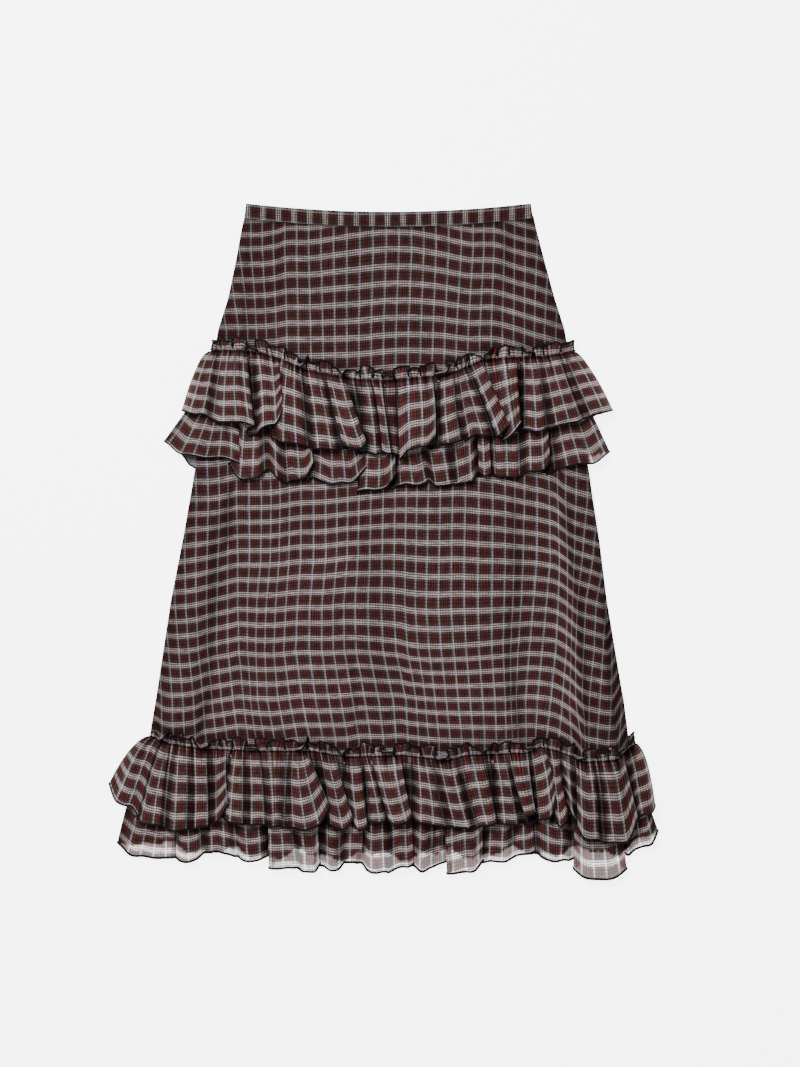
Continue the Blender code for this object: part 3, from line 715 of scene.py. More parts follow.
def swings(phase, table):
    """A sum of sines that change from arch to arch, a row of the table for each."""
    return sum(row.height * np.sin(row.rate * phase + row.shift) for row in table)


def crease_height(crease, x, y):
    """A soft ridge or trough along one line: a bell across it, which fades towards its ends."""
    down = (crease.y_top - y) / (crease.y_top - crease.y_foot)
    centre = crease.x_top + (crease.x_foot - crease.x_top) * down
    ends = smooth(down / CREASE_COMES) * smooth((1.0 - down) / CREASE_GOES)
    return crease.height * bell(x - centre, crease.half_width) * ends


def past_sides(x, y):
    """How far a point lies past the nearer side of the body: less than 0 inside it."""
    return np.maximum(body_side(y, "left") - x, x - body_side(y, "right"))


def front_panel_height(x, y):
    """Middle of the front panel's wall: the back panel's, one wall up, with slack and creases."""
    inside = np.maximum(-past_sides(x, y), 0.0)
    slack = FRONT_PUFF * smooth(inside / PUFF_MARGIN)
    folds = sum(crease_height(crease, x, y) for crease in FRONT_CREASES)
    folds = np.maximum(slack + folds * smooth(inside / CREASE_MARGIN), 0.0)
    return back_panel_height(y) + LIFT + folds


def bed_height(x, y):
    """What the front ruffles lie on: the front panel, and below its foot the ruffles behind it."""
    below = along(HEM_STITCH, x) - HEM_SAG_START - y
    return front_panel_height(x, y) - HEM_SAG * smooth(below / HEM_SAG_LENGTH)


def rumple(x, y):
    """Slow unevenness from -1 to 1: a sum of plane waves whose lengths and directions don't match."""
    return sum(row.height * np.sin(TURN * (x / row.across + y / row.up) + row.phase) for row in RUMPLES)


def hermite(at, places, values, slopes):
    """A smooth curve at some places, from its values and slopes at the given places.

    It is a cubic Hermite curve. With s the share of the way from a given place to the next, and h
    the distance, it is (2s^3 - 3s^2 + 1) a + (s^3 - 2s^2 + s) h a' + (3s^2 - 2s^3) b +
    (s^3 - s^2) h b', where a and b are the values there and a' and b' the slopes.
    """
    step = np.diff(places)
    i = np.clip(np.searchsorted(places, at, side="right") - 1, 0, len(step) - 1)
    shape = i.shape + (1,) * (values.ndim - 1)
    h = step[i].reshape(shape)
    s = (at - places[i]).reshape(shape) / h
    return (
        (2.0 * s**3 - 3.0 * s**2 + 1.0) * values[i]
        + (s**3 - 2.0 * s**2 + s) * h * slopes[i]
        + (3.0 * s**2 - 2.0 * s**3) * values[i + 1]
        + (s**3 - s**2) * h * slopes[i + 1]
    )


def curve_at(at, places, values):
    """The smooth curve through (places, values): the slope at each place is that of the line between
    its two neighbours."""
    places, values = np.array(places, dtype=float), np.array(values, dtype=float)
    step, moved = np.diff(places), np.diff(values)
    inner = (moved[:-1] + moved[1:]) / (step[:-1] + step[1:])
    slopes = np.concatenate([moved[:1] / step[:1], inner, moved[-1:] / step[-1:]])
    return hermite(at, places, values, slopes)


def stairs(at, places, values):
    """Runs straight from each place's value to the next one's. Places and values may be arrays."""
    total = values[0]
    for i in range(len(places) - 1):
        share = np.clip((at - places[i]) / (places[i + 1] - places[i]), 0.0, 1.0)
        total = total + (values[i + 1] - values[i]) * share
    return total


def body_check(x, y):
    """Warp and weft counts on the front panel, from its plan.

    A smooth curve through the columns of each plan line gives the warp count there, and it runs
    straight from line to line. A smooth curve gives each weft's line, and the weft count runs straight
    from weft to weft. Past the side turn, the wefts climb in proportion to the distance from it.
    """
    column = PLAN_COLUMN + x / PLAN
    line = PLAN_LINE - y / PLAN
    counts = [curve_at(column, row.columns, WARP_COUNTS) for row in BODY_WARPS]
    warp = stairs(line, [row.line for row in BODY_WARPS], counts)
    climbed = line + SIDE_TURN_SLOPE * np.maximum(column - along(SIDE_TURN, line), 0.0)
    levels = [
        curve_at(np.clip(column, row.columns[0], row.columns[-1]), row.columns, row.lines)
        for row in BODY_WEFTS
    ]
    beyond = WEFTS_BEYOND * WEFT_SQUARES
    levels = [levels[0] - beyond, *levels, levels[-1] + beyond]
    numbers = [row.count for row in BODY_WEFTS]
    numbers = [numbers[0] - WEFTS_BEYOND, *numbers, numbers[-1] + WEFTS_BEYOND]
    return warp, stairs(climbed, levels, numbers)


def tuck_points(top, hem, low, beyond, crest, outward, depth):
    """The four points of a tuck, from its fold's edge to the cloth below the next fold.

    The cloth turns back under the fold as a Z. Low is the hem's Y at the fold's edge, and beyond the
    next fold's.
    """
    middle = 0.5 * (low + beyond)
    steps = (
        (0.0, low, TURN_HIGH, 0.0),
        (0.0, low, TURN_MID, TURN_DARK),
        (depth, middle, TURN_LOW, 1.0),
        (depth, beyond, 0.0, 1.0),
    )
    return [
        (top + outward * TUCK_STEP * n, hem - outward * under, y, share * crest, dark)
        for n, (under, y, share, dark) in enumerate(steps)
    ]


def fold_section(folds):
    """The strip's section at the stitching and the hem: rows of (x_top, x_hem, y_hem, height, dark).

    Each fold goes from its left edge over its crown to its right edge. A wide fold has a shoulder on
    each side of its crown. Its dark value is painted shadow under a tuck and just beside it.
    """
    section = []

    def add(fold, share, low, height, dark=0.0):
        top = fold.left_top + (fold.right_top - fold.left_top) * share
        hem = fold.left_hem + (fold.right_hem - fold.left_hem) * share
        section.append((top, hem, low, height * fold.crest, dark))

    before = [folds[0], *folds[:-1]]
    after = [*folds[1:], folds[-1]]
    for fold, left, right in zip(folds, before, after):
        wide = fold.right_hem - fold.left_hem > WIDE_FOLD
        if fold.tuck_left:
            beyond = left.low_left if left is fold else left.low_right
            edge = (fold.left_top, fold.left_hem, fold.low_left)
            section.extend(tuck_points(*edge, beyond, fold.crest, -1.0, fold.tuck_left)[::-1])
        else:
            add(fold, 0.0, fold.low_left, FOOT, BESIDE_TUCK if left.tuck_right else VALLEY)
        if wide:
            low = ROUND * fold.low_left + (1.0 - ROUND) * fold.low_mid
            add(fold, SHOULDER_AT, low, SHOULDER)
        add(fold, 0.5, fold.low_mid, 1.0)
        if wide:
            low = ROUND * fold.low_right + (1.0 - ROUND) * fold.low_mid
            add(fold, 1.0 - SHOULDER_AT, low, SHOULDER)
        if fold.tuck_right:
            beyond = right.low_right if right is fold else right.low_left
            edge = (fold.right_top, fold.right_hem, fold.low_right)
            section.extend(tuck_points(*edge, beyond, fold.crest, 1.0, fold.tuck_right))
        else:
            add(fold, 1.0, fold.low_right, FOOT, BESIDE_TUCK if right.tuck_left else VALLEY)
    return np.array(section)


def curve_through(section, count):
    """Evenly spaced points on a smooth curve through the section's rows.

    The direction at each row is the mean of the slopes on its two sides, each weighted by the length
    of the other side.
    """
    moved = np.diff(section, axis=0)
    step = np.hypot(moved[:, 1], moved[:, 3]) + TOP_WEIGHT * np.abs(moved[:, 0]) + LEAST_STEP
    start = np.concatenate([[0.0], np.cumsum(step)])
    slope = moved / step[:, None]
    before, after = step[:-1, None], step[1:, None]
    inner = (slope[:-1] * after + slope[1:] * before) / (before + after)
    slopes = np.concatenate([slope[:1], inner, slope[-1:]])
    return hermite(np.linspace(0.0, start[-1], count), start, section, slopes)


def side_share(x, left, right):
    """0 at a ruffle's side seams and 1 away from them, along a quarter circle."""
    inside = np.clip(np.minimum(x - left, right - x) / SIDE_ROUND, 0.0, 1.0)
    return np.sqrt(1.0 - (1.0 - inside) ** 2)


def puffed(drop):
    """How far a ruffle has come to its full height, this far below the stitching."""
    return 1.0 - np.exp(-np.maximum(drop, 0.0) / PUFF_DROP)


def cloth_along(x_hem, height):
    """Length of cloth along the hem, from its left end: the sum of its steps in X and Z."""
    return np.concatenate([[0.0], np.cumsum(np.hypot(np.diff(x_hem), np.diff(height)))])


def stitch_line(layer, x):
    """Y of a layer's own stitching at x: the lower layer is sewn a little further down."""
    return along(layer.stitch, x) - (0.0 if layer.is_top else UNDER_START)


def swell(layer, x_hem):
    """The power of the drop's share by which each column bows out: 1 is a straight line."""
    near_left = smooth(1.0 - (x_hem - x_hem[0]) / SWELL_REACH)
    near_right = smooth(1.0 - (x_hem[-1] - x_hem) / SWELL_REACH)
    return 1.0 + (layer.swell_left - 1.0) * near_left + (layer.swell_right - 1.0) * near_right


def front_ruffle_form(layer, form, cloth):
    """Points, check counts, shade and sheerness of a front ruffle layer.

    A column is a line of cloth from the stitching to the hem. It is straight but for a slow sway, and
    near a silhouette it bows outwards, as the drop's share to the power of swell. Above the
    stitching of an upper layer stands its heading.
    """
    section = curve_through(fold_section(layer.folds), layer.columns)
    x_top, x_hem, y_hem, crest, dark = section.T
    crest = np.maximum(crest, 0.0)
    length = cloth_along(x_hem, crest)
    share = (np.linspace(0.0, 1.0, layer.rows + 1) ** ROW_POWER)[:, None]
    x = x_top + (x_hem - x_top) * share ** swell(layer, x_hem)
    x = x + np.sin(np.pi * share) * sines(length, SWAY)
    y_start = stitch_line(layer, x_top)
    wave = HEM_WAVE * np.sin(TURN * length / HEM_WAVE_LENGTH + sines(length, HEM_WAVE_WANDER))
    y = y_start + (y_hem + wave - y_start) * share
    drop = y_start - y
    pucker, wander = gather_wave(x_top, length, form)
    z = front_ruffle_height(layer, form, x, y, drop, crest, length, pucker, wander)
    depth = y_start - np.mean(y_hem)
    v = share * (MEAN_DEPTH * np.mean(depth) + (1.0 - MEAN_DEPTH) * depth)
    shade = hollow_shade(z, layer.columns / length[-1])
    shade = shade * front_ruffle_dark(form, x, y, x_top, drop, pucker, dark)
    if layer.is_top:
        frill = heading_form(layer, form, x_top, pucker)
        below = (x, y, z, v, shade)
        x, y, z, v, shade = (np.concatenate(pair) for pair in zip(frill, below))
    points = np.stack([x, y, z], axis=-1)
    u = np.broadcast_to(length, x.shape) * MM / cloth.warp_pitch + layer.warp_start
    counts = np.stack([u, v * MM / cloth.weft_pitch + layer.weft_start], axis=-1)
    outside = np.zeros(x.shape) if layer.is_top else smooth(beyond_body(points) / SHEER_MARGIN)
    sheer = outside * smooth((back_hem(layer, x) + SHEER_EARLY - y) / SHEER_EDGE)
    return points, counts, np.maximum(shade, LEAST_SHADE), sheer


def round_ridge(turns):
    """A wave from -1 to 1 with round crowns and sharp valleys: the size of a sine, twice, less one."""
    return 2.0 * np.abs(np.sin(0.5 * TURN * turns)) - 1.0


def front_ruffle_height(layer, form, x, y, drop, crest, length, pucker, wander):
    """Z of a front ruffle layer.

    Its height above its bed grows with the drop as 1 - exp(-drop / PUFF_DROP), times its fold's
    height. Puckers fade as exp(-drop / reach) and turn into ripples, which fade in the same way over
    more of the drop. Creases and a fine crinkle add to them. Past the body's sides it comes down to
    its side seam along a quarter circle.
    """
    puff = puffed(drop)
    lift = TOP_LIFT * puff if layer.is_top else 0.0
    crest = crest if layer.is_top else np.minimum(crest, UNDER_CREST)
    fade = np.exp(-drop / (form.gather_reach / MM))
    heights = (RIPPLE_MEAN + sines(length, RIPPLE_CHANGE), FINE_RIPPLE)
    ripple = sum(
        height * round_ridge(length / row.pitch + row.drift * wander) * np.exp(-drop / row.reach)
        for height, row in zip(heights, RIPPLES)
    )
    small = form.gather / MM * (PUCKER_SHARE * pucker * fade + RIPPLE_SHARE * ripple * (1.0 - fade))
    small = small + sum(crease_height(crease, x, y) for crease in layer.creases)
    crinkle = np.sin(TURN * (x / CRINKLE_ACROSS + y / CRINKLE_UP + CRINKLE_DRIFT * wander))
    small = small + CRINKLE * crinkle * smooth(drop / CRINKLE_DROP)
    z = bed_height(x, y) + RUFFLE_LIFT + lift + crest * puff + small
    seat = (FLOOR_REST if layer.is_top else BACK_UNDER_BASE) + LIFT
    free = smooth((past_sides(x, y) - SIDE_CLEAR) / (SIDE_FREE - SIDE_CLEAR))
    return z + (seat - z) * (1.0 - side_share(x, x[:, :1], x[:, -1:])) * free


def front_ruffle_dark(form, x, y, x_top, drop, pucker, dark):
    """The share of light that painted shade leaves on a front ruffle by its stitching, puckers, tucks,
    pleats and bottom right corner, with a painted highlight where puckers swell out.

    Each one takes its own share of what is left, in the places where it lies.
    """
    fade = np.exp(-drop / (form.gather_reach / MM))
    corner = smooth((x - CORNER.x) / CORNER_WIDTH) * smooth((CORNER.y - y) / CORNER_DEPTH)
    left = 1.0
    for share, where in (
        (SEAM_DARK, bell(drop, SEAM_DEPTH)),
        (PUCKER_DARK, fade * (1.0 - pucker)),
        (TUCK_DARK, np.clip(dark, 0.0, 1.0) * smooth(drop / TUCK_DROP)),
        (PLEAT_DARK, (1.0 - fine_pleats(x_top)) * np.exp(-drop / PLEAT_DROP)),
        (CORNER_DARK, corner),
        (-PUFF_HIGHLIGHT, pucker * bell(drop - PUFF_AT, PUFF_DEPTH)),
    ):
        left = left * (1.0 - share * where)
    return left


def gather_wave(x_top, length, form):
    """The puckers along a gathered seam, and the slow wave that spaces them unevenly.

    Two rows of round ridges, one at the gather pitch and one WIDE_PITCH times as wide, add up.
    """
    wander = sines(length, WANDER)
    turns = x_top / (form.gather_pitch / MM)
    wide = round_ridge(turns / WIDE_PITCH + WIDE_DRIFT * wander)
    return round_ridge(turns + PUCKER_DRIFT * wander) + WIDE_PUCKER * wide, wander


def fine_pleats(x_top):
    """The small pleats that the gathering thread makes: round ridges, unevenly spaced by two sines."""
    return round_ridge(x_top / PLEAT_PITCH + sines(x_top, PLEAT_WANDER))


def heading_form(layer, form, x_top, pucker):
    """X, Y, Z, drop and shade of the frill above the stitching, from its edge down.

    It stands in arches. Where two meet, X swings back by a sine of their phase and the frill is low,
    so that each arch has steep sides. Every column bends up along the arc of a circle, and here and
    there it bends right over, which shows its wrong side. Puckers and fine pleats stand on it. Some
    cloth is lost in the gathers just above the stitching, so the drop counts it in. Its painted shade
    is dark where two arches meet and between pleats, and a painted highlight lies along the edge.
    """
    t = np.linspace(1.0, 0.0, HEADING_ROWS, endpoint=False)[:, None]
    phase = TURN * x_top / FRILL_PITCH + sines(x_top, ARCH_WANDER)
    from_dip = np.abs((phase + 0.5 * TURN) % TURN - 0.5 * TURN)
    arch = np.sqrt(smooth((from_dip - ARCH_DIP) / ARCH_SIDE))
    size = 1.0 + swings(phase, ARCH_SIZES)
    inner = smooth(np.minimum(x_top - x_top[0], x_top[-1] - x_top) / HEADING_END)
    reach = HEADING * (LOW_HEADING + HIGH_HEADING * arch * size)
    reach = reach * (END_HEADING + (1.0 - END_HEADING) * inner)
    curled = smooth((swings(phase, CURL_PLACES) - CURL_FROM) / CURL_OVER)
    bend = BEND + swings(phase, BEND_CHANGE) + CURL * curled
    x = x_top - form.frill / MM * np.sin(phase) * t**FRILL_POWER * inner
    y = along(layer.stitch, x_top) + reach * np.sin(bend * t) / bend + HEADING_PUCKER_Y * pucker * t
    pleat = fine_pleats(x_top)
    z = bed_height(x, y) + RUFFLE_LIFT + FRILL_LAP * (1.0 + np.sin(phase)) * t
    z = z + reach * (1.0 - np.cos(bend * t)) / bend
    z = z + HEADING_CREST * arch * size * t * (CREST_AT - t)
    z = z + HEADING_PUCKER * form.gather / MM * (pucker + 1.0 + WIDE_PUCKER) * (1.0 - 0.5 * t)
    z = z + PLEAT_RISE * (pleat + 1.0) * (1.0 - 0.4 * t)
    hidden = HIDDEN_CLOTH * (1.0 - np.exp(-t * HEADING / HIDDEN_REACH))
    drop = -hidden - t * reach * (HEADING_CLOTH + swings(phase, CLOTH_CHANGE))
    shade = HEADING_SHADE
    for share, where in (
        (ARCH_DARK, (1.0 - arch) * t**0.5),
        (HEADING_PUCKER_DARK, (1.0 - pucker) * (1.0 - 0.5 * t)),
        (HEADING_PLEAT_DARK, (1.0 - pleat) * (1.0 - 0.35 * t)),
        (LAP_DARK, (0.5 - 0.5 * np.sin(phase)) * t),
        (-EDGE_HIGHLIGHT, arch * t**3),
    ):
        shade = shade - share * where
    return x, y, z, drop, shade


def hollow_shade(z, density):
    """How light reaches each point: less where it lies deeper than the mean of the cloth beside it.

    The means run over the reach of each row of HOLLOWS to both sides, at density points to the
    millimetre.
    """
    deep = 0.0
    for row in HOLLOWS:
        n = int(row.reach * density)
        padded = np.pad(z, ((0, 0), (n, n)), mode="edge")
        total = np.cumsum(np.pad(padded, ((0, 0), (1, 0))), axis=1)
        mean = (total[:, 2 * n + 1:] - total[:, : -2 * n - 1]) / (2 * n + 1)
        deep = deep + np.clip((mean - z) / row.depth, -0.35, 1.0)
    return 1.0 - HOLLOW_DARK * np.clip(deep, -0.5, 1.7)


def beyond_body(points):
    """How far points lie outside the body, past its sides or below its foot."""
    x, y = points[..., 0], points[..., 1]
    return np.maximum(past_sides(x, y), along(HEM_STITCH, x) - UNDER_START - y)


def back_hem(layer, x):
    """Y of the back half's hem at x: its table with waves of sines, and the front's at the sides."""
    left, right = layer.folds[0], layer.folds[-1]
    places = [left.left_hem, *(row.x for row in layer.back_hem), right.right_hem]
    level = np.interp(x, places, [left.low_left, *(row.y for row in layer.back_hem), right.low_right])
    inner = smooth(np.minimum(x - left.left_hem, right.right_hem - x) / BACK_HEM_END)
    return level + sines(x, BACK_HEM_WAVES) * inner


def back_ruffle_form(layer, cloth):
    """Points, check counts, shade and sheerness of a back ruffle layer.

    It is pressed flat between the floor and the back panel, in waves of a sine along its width.
    """
    left, right = layer.folds[0], layer.folds[-1]
    u = np.linspace(0.0, 1.0, BACK_COLUMNS + 1)
    share = np.linspace(0.0, 1.0, BACK_ROWS + 1)[:, None]
    x_top = left.left_top + (right.right_top - left.left_top) * u
    x_hem = left.left_hem + (right.right_hem - left.left_hem) * u
    y_start, y_hem = stitch_line(layer, x_top), back_hem(layer, x_hem)
    x = x_top + (x_hem - x_top) * share ** swell(layer, x_hem)
    y = y_start + (y_hem - y_start) * share
    sides = smooth(np.minimum(u, 1.0 - u) * BACK_SIDES)
    ripple = np.sin(TURN * BACK_WAVES * u + (0.0 if layer.is_top else BACK_UNDER_PHASE))
    base = FLOOR_REST if layer.is_top else BACK_UNDER_BASE
    z = base + BACK_WAVE * (0.5 + 0.5 * ripple) * sides * smooth(share * 2.0)
    v = share * (y_start - y_hem)
    if layer.is_top:
        t = np.array([1.0, 0.66, 0.33])[:, None]
        flat = np.ones((3, len(u)))
        x = np.concatenate([x_top * flat, x])
        y = np.concatenate([along(layer.stitch, x_top) + HEADING * t, y])
        z = np.concatenate([FLOOR_REST * flat, z])
        v = np.concatenate([-HEADING * t * flat, v])
    across = np.broadcast_to(BACK_FULLNESS * (x_hem - x_hem[0]), x.shape) * MM / cloth.warp_pitch
    counts = np.stack([across, v * MM / cloth.weft_pitch + BACK_WEFT_START], axis=-1)
    return np.stack([x, y, z], axis=-1), counts, np.full(x.shape, BACK_SHADE), np.zeros(x.shape)


def panel_grid(grid, tuck, inset):
    """X and Y of a body panel's points, from the waist seam to just below the bottom stitching.

    The panel reaches beyond the seam by tuck, under the waistband. Inset draws its sides in.
    """
    across, down = grid
    u = np.linspace(0.0, 1.0, across + 1)[None, :]
    v = np.linspace(0.0, 1.0, down + 1)[:, None]
    y = np.zeros((down + 1, across + 1))
    x = np.zeros_like(y)
    for _ in range(3):    # the edges and the seam lines depend on each other
        top = waist_edge(x) - BAND_DEPTH - SEAM + tuck
        foot = along(HEM_STITCH, x) - UNDER_START
        y = top + (foot - top) * v
        left, right = body_side(y, "left") + inset, body_side(y, "right") - inset
        x = left + (right - left) * u
    return x, y


def front_panel_form():
    """Points, check counts, shade and sheerness of the front panel.

    It has its frame's form with finer creases and a slow unevenness. Its painted shade makes it darker
    towards its sides, in troughs, high up, where it turns to its right side seam, under the waistband
    and just above each heading, and a painted highlight lies on its ridges.
    """
    x, y = panel_grid(PANEL_GRID, WAIST_TUCK, 0.0)
    inside = np.maximum(-past_sides(x, y), 0.0)
    fine = sum(crease_height(crease, x, y) for crease in FINE_CREASES)
    z = front_panel_height(x, y) + (fine + RUMPLE * rumple(x, y)) * smooth(inside / RUMPLE_MARGIN)
    fall = SIDE_FALL * (1.0 - smooth(inside / SIDE_FALL_WIDTH))
    z = np.maximum(z - fall, back_panel_height(y) + LEAST_GAP)
    under_band = waist_edge(x) - BAND_DEPTH - y
    z = BAND_SEAM_HEIGHT + (z - BAND_SEAM_HEIGHT) * smooth(under_band / BAND_SEAM_DROP)
    shade = PANEL_SHADE + sum(row.gain * smooth(inside / row.width) for row in PANEL_GAINS)
    for creases, dark, pale in CREASE_LIGHTS:
        heights = [crease_height(crease, x, y) for crease in creases]
        troughs = sum(np.minimum(height, 0.0) for height in heights)
        ridges = sum(np.maximum(height, 0.0) for height in heights)
        shade = shade * (1.0 + dark * np.maximum(troughs, DEEPEST) + pale * ridges)
    shade = shade * (LOW_SHADE - HIGH_DARK * smooth((y - HIGH_FROM) / HIGH_OVER))
    line = PLAN_LINE - y / PLAN
    turned = PLAN_COLUMN + x / PLAN - along(SIDE_TURN, line)
    turn_dark = TURNED_DARK * smooth(turned / 2.0) + TURN_LINE_DARK * bell(turned, 1.3)
    shade = shade * (1.0 - turn_dark * smooth((line - TURN_FROM) / TURN_OVER))
    shade = shade * (1.0 - BAND_SHADOW * np.exp(-np.maximum(under_band, 0.0) / BAND_SHADOW_DROP))
    for stitch in (HIP_STITCH, HEM_STITCH):
        above = y - along(stitch, x) - HEADING
        shade = shade * (1.0 - FRILL_SHADOW * bell(above, FRILL_SHADOW_WIDTH))
    return np.stack([x, y, z], axis=-1), np.stack(body_check(x, y), axis=-1), shade, np.zeros(x.shape)


def back_panel_form(cloth):
    """Points, check counts, shade and sheerness of the back panel."""
    x, y = panel_grid(BACK_PANEL_GRID, 0.0, BACK_PANEL_INSET)
    points = np.stack([x, y, back_panel_height(y)], axis=-1)
    counts = np.stack([x * MM / cloth.warp_pitch, -y * MM / cloth.weft_pitch], axis=-1)
    return points, counts, np.full(x.shape, BACK_PANEL_SHADE), np.zeros(x.shape)


def grid_faces(down, across):
    """Corner indices of a grid's cells, so that they face up."""
    index = np.arange(down * across).reshape(down, across)
    corners = (index[1:, :-1], index[1:, 1:], index[:-1, 1:], index[:-1, :-1])
    return np.stack(corners, axis=-1).reshape(-1, 4)


def new_mesh_object(name, points, faces):
    """A smooth-shaded mesh object at the origin, from points in millimetres."""
    mesh = bpy.data.meshes.new(name)
    mesh.vertices.add(len(points))
    mesh.vertices.foreach_set("co", (points * MM).astype(np.float32).ravel())
    mesh.loops.add(faces.size)
    mesh.loops.foreach_set("vertex_index", faces.astype(np.int32).ravel())
    mesh.polygons.add(len(faces))
    mesh.polygons.foreach_set("loop_start", np.arange(0, faces.size, faces.shape[1], dtype=np.int32))
    mesh.update(calc_edges=True)
    mesh.shade_smooth()
    item = bpy.data.objects.new(name, mesh)
    bpy.context.scene.collection.objects.link(item)
    return item


def set_uv(mesh, counts):
    """Writes each point's check counts as the UV map named check."""
    corners = np.empty(len(mesh.loops), dtype=np.int32)
    mesh.loops.foreach_get("vertex_index", corners)
    layer = mesh.uv_layers.new(name="check")
    layer.uv.foreach_set("vector", counts[corners].astype(np.float32).ravel())


def set_attribute(mesh, name, values):
    """Writes one number for each point of the mesh."""
    layer = mesh.attributes.new(name, "FLOAT", "POINT")
    layer.data.foreach_set("value", values.astype(np.float32).ravel())


def dress(item, counts, shade, sheer, materials):
    """Gives a cloth piece its check counts, painted shade, sheerness and materials."""
    set_uv(item.data, counts.reshape(-1, 2))
    set_attribute(item.data, "shade", shade)
    set_attribute(item.data, "sheer", sheer)
    for material in materials:
        item.data.materials.append(material)


def cloth_object(name, made, materials, thickness):
    """A cloth piece from its points, counts, shade and sheerness, given its wall to both sides."""
    points, counts, shade, sheer = made
    item = new_mesh_object(name, points.reshape(-1, 3), grid_faces(*points.shape[:2]))
    dress(item, counts, shade, sheer, materials)
    wall = item.modifiers.new("wall", "SOLIDIFY")
    wall.thickness = thickness
    wall.offset = 0.0
    wall.material_offset = len(materials) - 1
    return item


def fan(centre, ring):
    """Four-cornered faces from a centre point to each two sides of a ring of points."""
    sides = (np.roll(ring, -n)[::2] for n in range(3))
    return np.stack((np.full(len(ring) // 2, centre), *sides), axis=-1)


def rolled_edge(name, path, radius, material):
    """A round roll of cloth along a path: rings of points square to it, closed at both ends.

    Each ring is a circle in the plane of two directions at right angles to the path's own. The roll
    lies on the floor where the path is lower than its radius.
    """
    path = np.column_stack([path[:, :2], np.maximum(path[:, 2], radius)])
    ahead = np.gradient(path, axis=0)
    ahead /= np.linalg.norm(ahead, axis=1, keepdims=True) + TINY
    side = np.cross(ahead, np.array(NEARLY_UP))
    side /= np.linalg.norm(side, axis=1, keepdims=True) + TINY
    rise = np.cross(side, ahead)
    angle = TURN * np.arange(HEM_SIDES)[None, :, None] / HEM_SIDES
    points = path[:, None] + radius * (np.cos(angle) * side[:, None] + np.sin(angle) * rise[:, None])
    index = np.arange(len(path) * HEM_SIDES).reshape(len(path), HEM_SIDES)
    around = np.roll(index, -1, axis=1)
    faces = np.stack((index[:-1], index[1:], around[1:], around[:-1]), axis=-1).reshape(-1, 4)
    ends = np.concatenate([path[:1] - radius * ahead[:1], path[-1:] + radius * ahead[-1:]])
    points = np.concatenate([points.reshape(-1, 3), ends])
    first, last = index.size, index.size + 1
    faces = np.concatenate([faces, fan(first, index[0]), fan(last, index[-1])[:, ::-1]])
    item = new_mesh_object(name, points, faces)
    item.data.materials.append(material)
    return item


def waistband_form(middle, crown, cloth):
    """Points and check counts of half of the waistband: a doubled strip with rounded edges.

    Its section is a superellipse, as deep as the band and as thick as its wall, carried along the
    waist's arch. The cloth is cut crosswise, so the warps run along it.
    """
    share = np.linspace(-1.0, 1.0, BAND_COLUMNS + 1)[:, None]
    angle = TURN * np.arange(BAND_RING) / BAND_RING
    across, thick = (np.sign(n) * np.abs(n) ** BAND_SQUARE for n in (np.cos(angle), np.sin(angle)))
    down = (0.5 - 0.5 * across)[None, :]
    half_width = 0.5 * (WAIST_RIGHT - WAIST_LEFT) - BAND_INSET + BAND_SPREAD * down
    x = 0.5 * (WAIST_LEFT + WAIST_RIGHT) + half_width * share
    y = waist_edge(x) - BAND_DEPTH * down
    ends = smooth((1.0 - np.abs(share)) * BAND_END) * 0.5 + 0.5
    z = middle + 0.5 * BAND_WALL * thick[None, :] * ends
    z = z + crown * np.sin(TURN * x / BAND_CROWN_LENGTH) * (1.0 - down)
    warp = (down - 0.5) * BAND_DEPTH * MM / cloth.warp_pitch + BAND_WARP_START + sines(x, BAND_WANDER)
    weft = (x - WAIST_LEFT) * MM * BAND_EASE / cloth.weft_pitch + BAND_WEFT_START
    return np.stack([x, y, z], axis=-1), np.stack([warp, weft], axis=-1)


def waistband_object(name, made, materials):
    """The closed strip of the waistband, with a flat cap on each end."""
    points, counts = made
    count, ring = points.shape[:2]
    index = np.arange(count * ring).reshape(count, ring)
    around = np.roll(index, -1, axis=1)
    faces = np.stack((index[:-1], around[:-1], around[1:], index[1:]), axis=-1).reshape(-1, 4)
    near, far = index[0], index[-1]
    steps = np.arange(ring // 2 - 1)
    cap_near = np.stack((near[steps], near[-1 - steps], near[-2 - steps], near[steps + 1]), axis=-1)
    cap_far = np.stack((far[steps], far[steps + 1], far[-2 - steps], far[-1 - steps]), axis=-1)
    item = new_mesh_object(name, points.reshape(-1, 3), np.concatenate([faces, cap_near, cap_far]))
    plain = np.ones((count, ring))
    dress(item, counts, BAND_SHADE * plain, 0.0 * plain, materials)
    return item


def set_inputs(tree, node, inputs):
    """Gives each named input of a node its value or link."""
    for key, value in inputs.items():
        if isinstance(value, bpy.types.NodeSocket):
            tree.links.new(value, node.inputs[key])
        else:
            node.inputs[key].default_value = value


def add_node(tree, kind, inputs=None, **settings):
    """A new node with its settings, and with each input's value or link."""
    made = tree.nodes.new(kind)
    for key, value in settings.items():
        setattr(made, key, value)
    set_inputs(tree, made, inputs or {})
    return made


def add_math(tree, operation, *values):
    """The result of a Math node on these values or links."""
    return add_node(tree, "ShaderNodeMath", dict(enumerate(values)), operation=operation).outputs[0]


def add_vector(tree, operation, inputs):
    """The result of a Vector Math node."""
    return add_node(tree, "ShaderNodeVectorMath", inputs, operation=operation).outputs[0]


def add_mix(tree, kind, factor, first, second):
    """The result of a Mix node."""
    inputs = {"Factor": factor, "A": first, "B": second}
    return add_node(tree, "ShaderNodeMix", inputs, data_type=kind).outputs["Result"]


def add_noise(tree, vector, scale, detail):
    """The value of a Noise Texture node."""
    inputs = {"Vector": vector, "Scale": scale, "Detail": detail}
    return add_node(tree, "ShaderNodeTexNoise", inputs).outputs["Fac"]


def add_bump(tree, height, strength, distance):
    """The normal of a Bump node."""
    inputs = {"Height": height, "Strength": strength, "Distance": distance}
    return add_node(tree, "ShaderNodeBump", inputs).outputs["Normal"]


